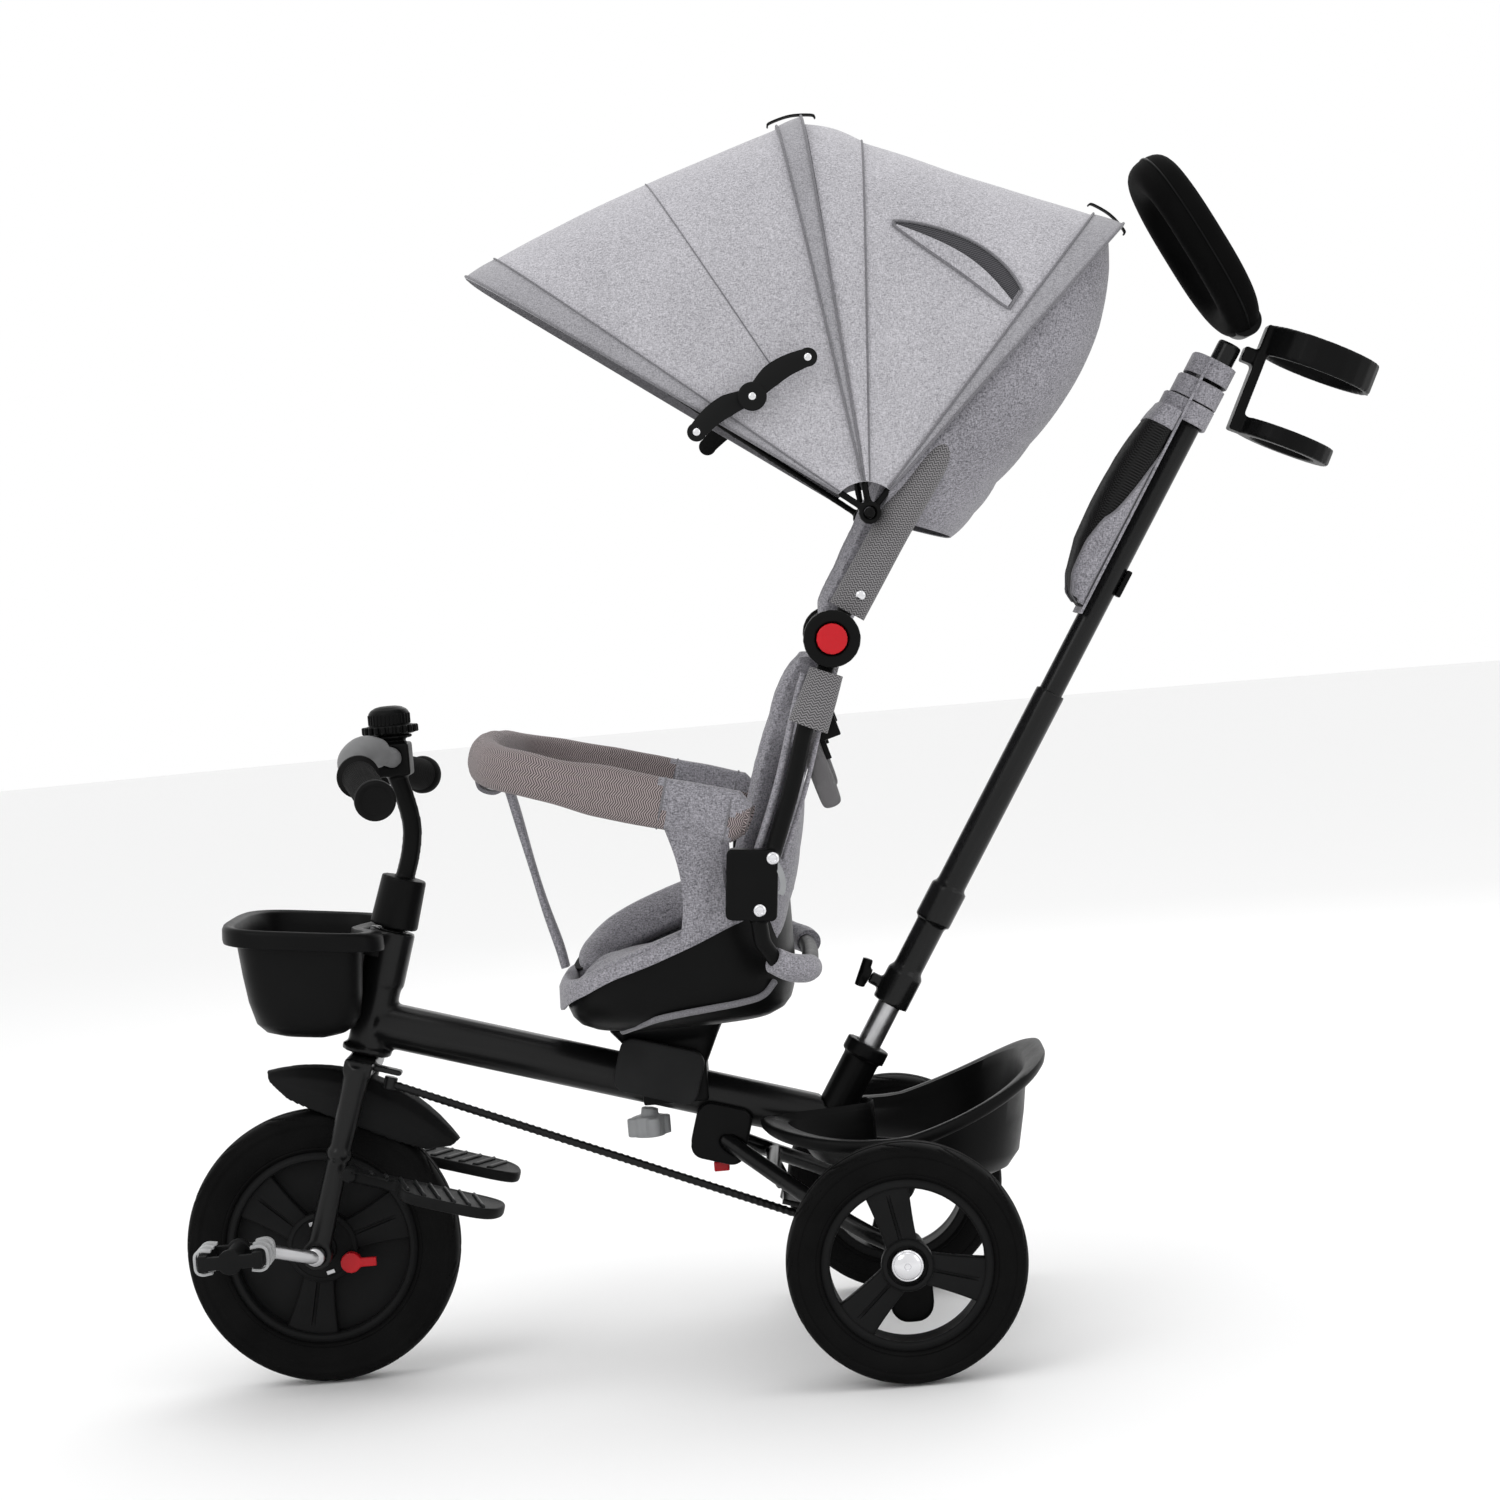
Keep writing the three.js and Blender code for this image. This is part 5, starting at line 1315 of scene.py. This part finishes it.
def safety_bar():
    path = [V(-22, -152, 489), V(-31, -151, 492), V(-80, -152, 506), V(-150, -153, 526), V(-205, -149, 543),
            V(-240, -122, 553), V(-254, -64, 558), V(-257, 0, 559)]
    pts = path + [V(q.x * 1000 - SHIFT, -q.y * 1000, q.z * 1000) for q in reversed(path[:-1])]
    path = smooth_path(pts, 12)
    n = len(path)

    def section(i, u):
        e = abs(2 * u - 1)
        a = 12.5 + 1.5 * (1 - e)
        step = min(1.0, max(0.0, (e - 0.50) / 0.14))
        b = 19.5 + 3.2 * step * step * (3 - 2 * step)
        end = min(1.0, 0.6 + 12 * (1 - e))
        out = []
        for k in range(36):
            t = 2 * math.pi * k / 36
            c, s = math.cos(t), math.sin(t)
            out.append((a * end * math.copysign(abs(c) ** 0.85, c), b * end * math.copysign(abs(s) ** 0.85, s)))
        return out
    g = sweep(path, section, up=(0, 1, 0.0))
    o = g.piece("safety_bar_cover", [MESH, SEAT], "safety_bar", "mesh_fabric", ["safety_bar"], sharp=70)
    cut = V(-95, 0, 0).x
    for p in o.data.polygons:
        if p.center.x > cut:
            p.material_index = 1
        if p.center.x > V(-40, 0, 0).x and p.center.z < V(0, 0, 492).z + 0.4 * (p.center.x - V(-40, 0, 0).x):
            p.material_index = 0
    for v in o.data.vertices:           # soft lumps in the wadding
        q = noise.noise(v.co * 26)
        v.co = v.co + v.normal * (0.0011 * q)
    # seams where the grey side pieces meet the mesh
    for name, sign in (("left", -1), ("right", 1)):
        for x in (-95, -40):
            c = min(path, key=lambda p: abs(p.x - V(x, 0, 0).x) + (0 if p.y * sign > 0 else 1))
            i = path.index(c)
            t = (path[min(i + 1, n - 1)] - path[i - 1]).normalized()
            s = (Vector((0, 1, 0)) - t * t.y).normalized()
            w = t.cross(s)
            ring = [c + s * (13.2 / 1000 * math.cos(a)) + w * (22.6 / 1000 * math.sin(a)) for a in [2 * math.pi * k / 40 for k in range(40)]]
            tube(ring, 0.9, 8, 1, closed=True).piece("bar_seam_%s_%d" % (name, abs(x)), BIND, "safety_bar",
                    "mesh_fabric")
    # side aprons of the liner, from the bar down to the seat's rim
    for name, sign in (("left", -1), ("right", 1)):
        rows, cols = 22, 18
        grid = []
        for i in range(rows + 1):
            u = i / rows
            row = []
            for j in range(cols + 1):
                v = j / cols
                top = Vector((-97 + 50 * v, 0, 492 - 10 * v))
                low = Vector((-92 + 48 * v, 0, seat_rim(-92 + 48 * v) - 3))
                p = top.lerp(low, u)
                bow = 7 * math.sin(math.pi * u) - 3.5 * math.sin(math.pi * v) + 1.2 * math.sin(7 * v + 4 * u)
                x = p.x + 9 * math.sin(math.pi * u) * (1 - v) - 3 * math.sin(math.pi * u) * v
                y = (157 - 11 * u ** 1.4) - bow * 0.6
                row.append(V(x, sign * y, p.z))
            grid.append(row)
        back_side = [[p - Vector((0, sign * 0.0024, 0)) for p in r] for r in grid]
        rings = [a + list(reversed(b)) for a, b in zip(grid, back_side)]
        o = skin(rings).piece("seat_apron_" + name, SEAT, None, "grey_fabric", sharp=60)
        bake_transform(o)
        sheet_flat(grid)
    # crotch strap: a flat padded band hanging from the bar
    pts = [V(-244, 0, 541), V(-238, 0, 518), V(-231, 0, 484), V(-224, 0, 450), V(-216, 0, 414), V(-207, 0, 380),
            V(-203, 0, 360)]
    g = sweep(smooth_path(pts, 10), lambda i, u: [(w, d * (1 + 0.15 * math.sin(9 * u))) for w, d in
              ((-13, 0), (-12.4, -2.2), (-10, -3.2), (-3, -3.7), (3, -3.7), (10, -3.2), (12.4, -2.2), (13, 0),
                      (12.4, 2.2), (10, 3.2), (3, 3.7), (-3, 3.7), (-10, 3.2), (-12.4, 2.2))],
              up=(0, 1, 0), fixed=True)
    g.piece("crotch_strap_band", SEAT, "crotch_strap", "mesh_fabric", ["crotch_strap"], sharp=60)
    loop = sweep(smooth_path([V(-268, 0, 540), V(-265, 0, 529), V(-253, 0, 524), V(-242, 0, 529),
            V(-238, 0, 538)], 6),
                 lambda i, u: [(-15, -1.4), (15, -1.4), (15.4, 0), (15, 1.4), (-15, 1.4), (-15.4, 0)],
                 up=(0, 1, 0), fixed=True)
    loop.piece("strap_loop", BIND, "safety_bar", "mesh_fabric", sharp=60)


seat_liner()
back()
back_trim()
safety_bar()

# ---------------------------------------------------------------- hood
def hood_point(deg, t, radius, half, lift=0.0):
    c, s = math.cos(t), math.sin(t)
    y = (half + lift) * math.copysign(abs(c) ** 0.62, c)
    r = (radius + lift) * abs(s) ** 0.62
    return V(105 + r * math.cos(rad(deg)), -y, 745 + r * math.sin(rad(deg)))


BOWS = {"rear": (46, 330, 150), "mid": (96, 348, 158), "front": (142, 400, 166)}


def across(j, cols):
    """Even steps along the arch: the side runs and the crown get their share of columns."""
    return math.pi * (0.005 + 0.99 * j / cols)


def fabric_grid(rows, cols, place):
    return [[place(i / rows, across(j, cols)) for j in range(cols + 1)] for i in range(rows + 1)]


def cloth_shell(grid, thick=1.4):
    """A closed thin shell: grid outside (material 0), its copy moved inwards (material 1)."""
    n, m = len(grid), len(grid[0])
    normal = [[None] * m for _ in range(n)]
    for i in range(n):
        for j in range(m):
            a = grid[min(i + 1, n - 1)][j] - grid[max(i - 1, 0)][j]
            b = grid[i][min(j + 1, m - 1)] - grid[i][max(j - 1, 0)]
            c = a.cross(b)
            normal[i][j] = c.normalized() if c.length > 1e-12 else Vector((0, 0, 1))
    mid = normal[n // 2][m // 2]
    flip = -1 if mid.dot(grid[n // 2][m // 2] - HOOD) < 0 else 1
    g = Geo()
    run = [[0.0] * m for _ in range(n)]
    acr = [[0.0] * m for _ in range(n)]
    for i in range(n):
        for j in range(m):
            if i:
                run[i][j] = run[i - 1][j] + (grid[i][j] - grid[i - 1][j]).length
            if j:
                acr[i][j] = acr[i][j - 1] + (grid[i][j] - grid[i][j - 1]).length
    outer = [p for r in grid for p in r]
    inner = [grid[i][j] - normal[i][j] * (flip * thick / 1000) for i in range(n) for j in range(m)]
    faces, uvs, back, buv, rim = [], [], [], [], []
    for i in range(n - 1):
        for j in range(m - 1):
            q = [i * m + j, i * m + j + 1, (i + 1) * m + j + 1, (i + 1) * m + j]
            uv = [(acr[i][j], run[i][j]), (acr[i][j + 1], run[i][j + 1]),
                    (acr[i + 1][j + 1], run[i + 1][j + 1]), (acr[i + 1][j], run[i + 1][j])]
            if flip > 0:
                q, uv = q[::-1], uv[::-1]
            faces.append(q)
            uvs.append(uv)
            back.append([n * m + k for k in reversed(q)])
            buv.append(list(reversed(uv)))
    loop = [j for j in range(m)] + [i * m + m - 1 for i in range(1, n)] + [(n - 1) * m + j for j in range(m - 2,
            -1, -1)] + [i * m for i in range(n - 2, 0, -1)]
    for a, b in zip(loop, loop[1:] + loop[:1]):
        rim.append([a, b, n * m + b, n * m + a] if flip < 0 else [b, a, n * m + a, n * m + b])
    g.v = outer + inner
    for f, uv in zip(faces, uvs):
        g.f.append(f), g.m.append(0), g.s.append(True), g.uv.append(uv)
    for f, uv in zip(back, buv):
        g.f.append(f), g.m.append(1), g.s.append(True), g.uv.append(uv)
    for f in rim:
        g.f.append(f), g.m.append(0), g.s.append(True), g.uv.append(None)
    return g, normal, flip


def wrinkle(p, amount, scale=9.0, seed=0.0):
    return amount * (noise.noise(p * scale + Vector((seed, seed * 0.7,
            0))) + 0.5 * noise.noise(p * scale * 2.3 + Vector((0, seed, 3))))


def hood_surface(a, b, k, t, lift, sag):
    """A point of the cloth between bows a and b, sagging between them most on the crown and sides alike."""
    (d0, r0, y0), (d1, r1, y1) = BOWS[a], BOWS[b]
    bulge = 4 * k * (1 - k)
    s = math.sin(t) ** 0.4
    p = hood_point(d0 + (d1 - d0) * k, t, r0 + (r1 - r0) * k - sag * bulge * s,
            y0 + (y1 - y0) * k - 0.20 * sag * bulge * s, lift)
    out = (p - HOOD).normalized()
    q = wrinkle(p, 1.5, 8) * bulge
    return p + out * (q / 1000)


def edge_strip(a, b, k0, k1, lift, sag, rows=5, cols=72, thick=1.6, t0=0.0, t1=1.0, bulge=0.8):
    """A raised strip of cloth lying on the hood between shares k0 and k1."""
    grid = []
    for i in range(rows + 1):
        u = i / rows
        k = k0 + (k1 - k0) * u
        grid.append([hood_surface(a, b, k, math.pi * (0.005 + 0.99 * (t0 + (t1 - t0) * j / cols)),
                lift + bulge * math.sin(math.pi * u), sag)
                     for j in range(cols + 1)])
    return cloth_shell(grid, thick)[0]


def crease(a, b, k, lift, sag, r=0.8, cols=90, t0=0.0, t1=1.0):
    return tube([hood_surface(a, b, k, math.pi * (0.005 + 0.99 * (t0 + (t1 - t0) * j / cols)), lift,
            sag) for j in range(cols + 1)], r, 8, 1)


def hood():
    sag_front, sag_rear = 27, 33
    # front section, from the middle bow to the front bow, with its turned hem
    grid = fabric_grid(34, 110, lambda u, t: hood_surface("mid", "front", 0.03 + 1.02 * u, t, 7.5, sag_front))
    g, _, _ = cloth_shell(grid)
    o = g.piece("hood_cloth_front", [CANOPY, CANOPY_IN], None, "grey_fabric", ["hood_panel_front"], sharp=80)
    start, end = hood_point(100, math.pi / 2, 352, 0), hood_point(137, math.pi / 2, 396, 0)
    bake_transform(o)
    hem = edge_strip("mid", "front", 0.968, 1.056, 8.6, sag_front)
    hem.join(crease("mid", "front", 0.970, 9.6, sag_front, 0.7), 2)
    hem.join(crease("mid", "front", 1.052, 9.2, sag_front, 1.1), 2)
    hem.piece("hood_hem_front", [CANOPY_BAND, CANOPY_IN, BIND], "hood_front", "grey_fabric", sharp=80)
    seam = Geo().join(crease("mid", "front", 0.50, 7.9, sag_front, 0.55, t0=0.06, t1=0.94))
    seam.piece("hood_seam_front", BIND, None, "grey_fabric")
    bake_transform(bpy.data.objects["hood_seam_front"])

    # rear section, from the rear bow to the middle bow; the hem of its sides is straight
    def rear_place(u, t):
        k = -0.04 + 1.03 * u
        return hood_surface("rear", "mid", k, t, 8.2, sag_rear)
    grid = fabric_grid(34, 110, rear_place)
    g, _, _ = cloth_shell(grid)
    o = g.piece("hood_cloth_rear", [CANOPY, CANOPY_IN], None, "grey_fabric", ["hood_panel_rear"], sharp=80)
    start, end = hood_point(52, math.pi / 2, 330, 0), hood_point(90, math.pi / 2, 348, 0)
    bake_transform(o)
    # bands and piping over the middle bow
    mid = edge_strip("mid", "front", -0.035, 0.055, 9.4, sag_front)
    mid.join(crease("mid", "front", -0.030, 10.4, sag_front, 1.0), 2)
    mid.join(crease("mid", "front", 0.050, 10.4, sag_front, 1.1), 2)
    mid.piece("hood_band_mid", [CANOPY_BAND, CANOPY_IN, BIND], "hood_mid", "grey_fabric", sharp=80)
    pleat = edge_strip("rear", "mid", 0.80, 0.965, 9.4, sag_rear, rows=8, bulge=3.4)
    pleat.join(crease("rear", "mid", 0.800, 9.8, sag_rear, 0.9), 2)
    pleat.piece("hood_pleat", [CANOPY, CANOPY_IN, BIND], "hood_mid", "grey_fabric", sharp=80)
    rear = edge_strip("rear", "mid", -0.05, 0.045, 9.4, sag_rear)
    rear.join(crease("rear", "mid", 0.043, 10.2, sag_rear, 1.0), 2)
    rear.join(crease("rear", "mid", -0.046, 10.0, sag_rear, 1.2), 2)
    rear.piece("hood_band_rear", [CANOPY_BAND, CANOPY_IN, BIND], "seat_back", "grey_fabric", sharp=80)

    # the darker flap that closes the back below the rear bow
    key = [(46, 336, 150), (40.5, 305, 151), (34, 264, 149), (26, 208, 144), (18.5, 158, 138), (9, 118, 134),
            (-4, 94, 131), (-20, 76, 128)]
    rows, cols = 42, 90
    grid = []
    for i in range(rows + 1):
        x = (len(key) - 1) * i / rows
        n = min(int(x), len(key) - 2)
        d, r, h = (key[n][q] + (key[n + 1][q] - key[n][q]) * (x - n) for q in range(3))
        row = []
        for j in range(cols + 1):
            t = across(j, cols)
            p = hood_point(d, t, r, h, 2.0)
            q = wrinkle(p, 2.2, 10, 4) * math.sin(math.pi * min(1.0, i / rows + 0.1)) * math.sin(t)
            row.append(p + (p - HOOD).normalized() * (q / 1000))
        grid.append(row)
    g, _, _ = cloth_shell(grid)
    o = g.piece("hood_flap_rear", [SEAT, CANOPY_IN], "seat_back", "grey_fabric", sharp=80)
    sheet_flat(grid)

    # vent window: a lens-shaped flap lifted on each side of the rear section, with dark net behind it
    for name, sign in (("left", 1), ("right", -1)):
        def lens(u, w):
            k = 0.70 - 0.62 * u
            wide = 0.042 * math.sin(math.pi * u) ** 0.7 + 0.022 * u
            tc = 0.225 + 0.012 * math.sin(math.pi * u) - 0.052 * u
            t = tc + wide * w
            if sign < 0:
                t = 1 - t
            return k, math.pi * t
        for part, lift0, mat, slot in (("net", 9.0, NET_GREY, "mesh_fabric"),
                ("flap", 10.0, CANOPY, "grey_fabric")):
            rows, cols = 26, 10
            grid = []
            for i in range(rows + 1):
                u = 0.04 + 0.92 * i / rows
                row = []
                for j in range(cols + 1):
                    w = (-0.5 + j / cols) if part == "net" else (-0.5 + 0.30 * j / cols)
                    k, t = lens(u, w)
                    up = lift0 + (0 if part == "net" else 7.0 * math.sin(math.pi * u) * (j / cols) ** 1.2)
                    row.append(hood_surface("rear", "mid", k, t, up, sag_rear))
                grid.append(row)
            g, _, _ = cloth_shell(grid, 1.0)
            o = g.piece("vent_%s_%s" % (part, name), [mat, CANOPY_IN], None, slot, sharp=80)
            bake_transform(o)
        rim = []
        for u in [i / 40 for i in range(41)]:
            k, t = lens(0.02 + 0.96 * u, -0.5)
            rim.append(hood_surface("rear", "mid", k, t, 9.6, sag_rear))
        for u in [i / 40 for i in range(41)]:
            k, t = lens(0.98 - 0.96 * u, 0.5)
            rim.append(hood_surface("rear", "mid", k, t, 9.6, sag_rear))
        o = tube(rim, 1.3, 10, 1, closed=True).piece("vent_piping_" + name, BIND, None, "grey_fabric")
        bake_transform(o)

    # webbing loops on the crown of the middle and the rear bow
    for name, body, deg, r in (("mid", "hood_mid", 96, 359), ("rear", "seat_back", 46, 341)):
        pts = [hood_point(deg + 3.5, math.pi / 2, r + 1, 0), hood_point(deg + 3, math.pi / 2, r + 4.2, 0),
                hood_point(deg, math.pi / 2, r + 6.5, 0),
               hood_point(deg - 3, math.pi / 2, r + 4.2, 0), hood_point(deg - 3.5, math.pi / 2, r + 1, 0)]
        g = sweep(smooth_path(pts, 6), lambda i,
                u: [(-6, -0.7), (6, -0.7), (6.2, 0), (6, 0.7), (-6, 0.7), (-6.2, 0)], up=(0, 1, 0), fixed=True)
        g.piece("hood_loop_" + name, LINING_BLACK, body, "black_fabric")


def stays():
    """Curved stay arms: riveted at the bows, with a round boss where they meet."""
    f, q, m = (-37, 826), (13, 852), (63, 881)
    for name, sign in (("left", -1), ("right", 1)):
        for part, a, b, y, body, node in (("front", f, q, 182, "stays_front", "stay_arm_front_"),
                ("mid", m, q, 185, "stays_mid", "stay_arm_mid_")):
            ax, az = a
            bx, bz = b
            d = Vector((bx - ax, 0, bz - az))
            n = Vector((-d.z, 0, d.x)).normalized()
            if part == "mid":
                n = -n
            pts = []
            for u in (0, 0.16, 0.36, 0.58, 0.8, 1.0):
                bow = (5.2 if part == "front" else -5.2) * math.sin(math.pi * u) * (1 if part == "front" else -1)
                bow *= 1.0
                p = Vector((ax, 0, az)) + d * u + n * bow
                pts.append(V(p.x, sign * y, p.z))
            path = smooth_path(pts, 6)
            half = [7.6, 8.6, 9.2, 9.6, 8.0, 6.6]

            def section(i, u, half=half):
                x = u * (len(half) - 1)
                k = min(int(x), len(half) - 2)
                h = half[k] + (half[k + 1] - half[k]) * (x - k)
                return [(-1.35, -h + 0.6), (-0.9, -h), (0.9, -h), (1.35, -h + 0.6), (1.35, h - 0.6), (0.9, h),
                        (-0.9, h), (-1.35, h - 0.6)]
            g = sweep(path, section, up=(0, 1, 0), fixed=True)
            g.join(knob_turned(V(ax, sign * (y - 1.3), az), (0, sign, 0),
                    [(0, 0), (8.2, 0), (8.2, 2.6), (0, 2.6)], 0.7, 40))
            g.join(knob_turned(V(bx, sign * (y - 1.3), bz), (0, sign, 0),
                    [(0, 0), (12.4, 0), (12.4, 2.6), (11.4, 3.4 if part == "mid" else 2.6),
                    (0, 3.4 if part == "mid" else 2.6)], 0.7, 48))
            g.join(knob_turned(V(ax, sign * (y + 0.6), az), (0, sign, 0),
                    [(0, 0), (3.4, 0), (3.4, 1.6), (2.2, 2.4), (0, 2.7)], 0.5, 28), 1)
            if part == "mid":
                g.join(knob_turned(V(bx, sign * (y + 1.4), bz), (0, sign, 0),
                        [(0, 0), (3.4, 0), (3.4, 1.3), (2.2, 2.0), (0, 2.3)], 0.5, 28), 1)
            g.piece("stay_%s_%s" % (part, name), [BLACK_SOFT, CHROME], body, "black_plastic", [node + name],
                    sharp=45)


hood()
stays()

# ---------------------------------------------------------------- handle pouch and foam handle
def pouch():
    rows = [(456, -14, 40), (462, -26, 43), (480, -37, 45), (510, -44, 46), (550, -46, 46), (590, -45, 45),
            (620, -41, 44), (640, -37, 43), (650, -34, 42)]
    def at(s, a, lift=0.0):
        for (s0, n0, h0), (s1, n1, h1) in zip(rows, rows[1:]):
            if s <= s1 or s1 == rows[-1][0]:
                k = max(0.0, min(1.0, (s - s0) / (s1 - s0)))
                near, half = n0 + (n1 - n0) * k, h0 + (h1 - h0) * k
                break
        c, sn = math.cos(a), math.sin(a)
        x = (near - 12.2) / 2 + ((-12.2 - near) / 2 + lift) * math.copysign(abs(sn) ** 0.65, sn)
        return on_handle(s, (half + lift) * math.copysign(abs(c) ** 0.5, c), x)
    levels = [456 + 194 * i / 40 for i in range(41)]
    g = skin([[at(s, 2 * math.pi * k / 64) for k in range(64)] for s in levels])
    o = g.piece("pouch_body", NET, "handle_upper", "black_fabric", ["handle_pouch"], sharp=70)
    for v in o.data.vertices:
        v.co = v.co + v.normal * (0.0011 * noise.noise(v.co * 34))

    def edge(s):
        return math.asin(max(-0.97, min(0.97, -0.90 + 1.85 * ((s - 457) / 160) ** 1.1)))
    grid = []
    for i in range(31):
        s = 457.5 + 156 * i / 30
        a0 = edge(s)
        grid.append([at(s, a0 + (math.pi - 2 * a0) * k / 40, 1.2) for k in range(41)])
    g = cloth_shell(grid, 1.0)[0]
    g.piece("pouch_panel", [SEAT, SEAT], "handle_upper", "grey_fabric", sharp=70)
    for name, pick in (("left", 0), ("right", -1)):
        tube([r[pick] for r in grid], 1.1, 10, 2).piece("pouch_piping_" + name, BIND, "handle_upper",
                "grey_fabric")
    top = skin([[at(s, 2 * math.pi * k / 64, 0.9) for k in range(64)] for s in (632, 634, 640, 648, 651)])
    top.piece("pouch_top", SEAT, "handle_upper", "grey_fabric", sharp=60)
    # grey back panel against the tube, and its straps over the top
    g = sweep([on_handle(s, 0, -11.6) for s in (450, 500, 560, 620, 680, 706)], lambda i,
            u: [(-43 + 9 * u, -1.2), (43 - 9 * u, -1.2), (43.4 - 9 * u, 0), (43 - 9 * u, 1.2),
              (-43 + 9 * u, 1.2), (-43.4 + 9 * u, 0)], up=(0, 1, 0), fixed=True)
    g.piece("pouch_back", SEAT, "handle_upper", "grey_fabric", sharp=60)
    for i, (s, d) in enumerate(((655, 26), (675, 22), (697, 19))):
        pts = []
        for k in range(24):
            a = 2 * math.pi * k / 24
            c, sn = math.cos(a), math.sin(a)
            pts.append(on_handle(s, 30 * math.copysign(abs(c) ** 0.6, c),
                    -d / 2 + 4 + (d / 2 + 10) * math.copysign(abs(sn) ** 0.7, sn)))
        band = sweep(pts, lambda j,
                u: [(-9.0, -1.3), (9.0, -1.3), (9.4, 0), (9.0, 1.3), (-9.0, 1.3), (-9.4, 0)], closed=True,
                up=HANDLE, fixed=True)
        band.piece("pouch_strap_%d" % (i + 1), SEAT, "handle_upper", "grey_fabric", sharp=60)
    clip = brick(on_handle(492, 0, 13.5), (5, 16, 26), 32.1, edge=1.5)
    clip.piece("pouch_clip", BLACK, "handle_upper", "black_plastic")


def foam_loop():
    e = Vector((-0.4527, 0, 0.8916))
    side = Vector((0, 1, 0)).cross(e).normalized()
    centre = V(419, 0, 960)
    n = 96
    path = []
    for i in range(n):
        t = 2 * math.pi * i / n
        c, s = math.cos(t), math.sin(t)
        path.append(centre + e * (0.074 * math.copysign(abs(s) ** 0.75, s)) + Vector((0,
                0.072 * math.copysign(abs(c) ** 0.75, c), 0)))
    rings = []
    for i in range(n):
        p = path[i]
        out = (p - centre).normalized()
        low = max(0.0, -math.sin(2 * math.pi * i / n)) ** 3
        ring = []
        for k in range(30):
            a = 2 * math.pi * k / 30
            c, s = math.cos(a), math.sin(a)
            ring.append(p + out * (0.0168 * math.copysign(abs(c) ** 0.8,
                    c)) + side * ((0.0185 - 0.002 * low) * math.copysign(abs(s) ** 0.8, s)))
        rings.append(ring)
    g = skin(rings, closed=True, caps=False)
    g.join(knob_turned(V(457, -26, 889), (0, 1, 0), [(0, 0), (14.6, 0), (14.6, 52), (0, 52)], 1.6, 48), 1)
    g.piece("foam_handle", [FOAM, BLACK], "loop_handle", "grip_rubber", ["loop_handle"], sharp=60)
    # fine seam where the foam halves meet
    seam = [p + (p - centre).normalized() * 0.0171 for p in path]
    tube(seam, 0.8, 8, 1, closed=True).piece("foam_seam", BLACK, "loop_handle", "grip_rubber")


pouch()
foam_loop()
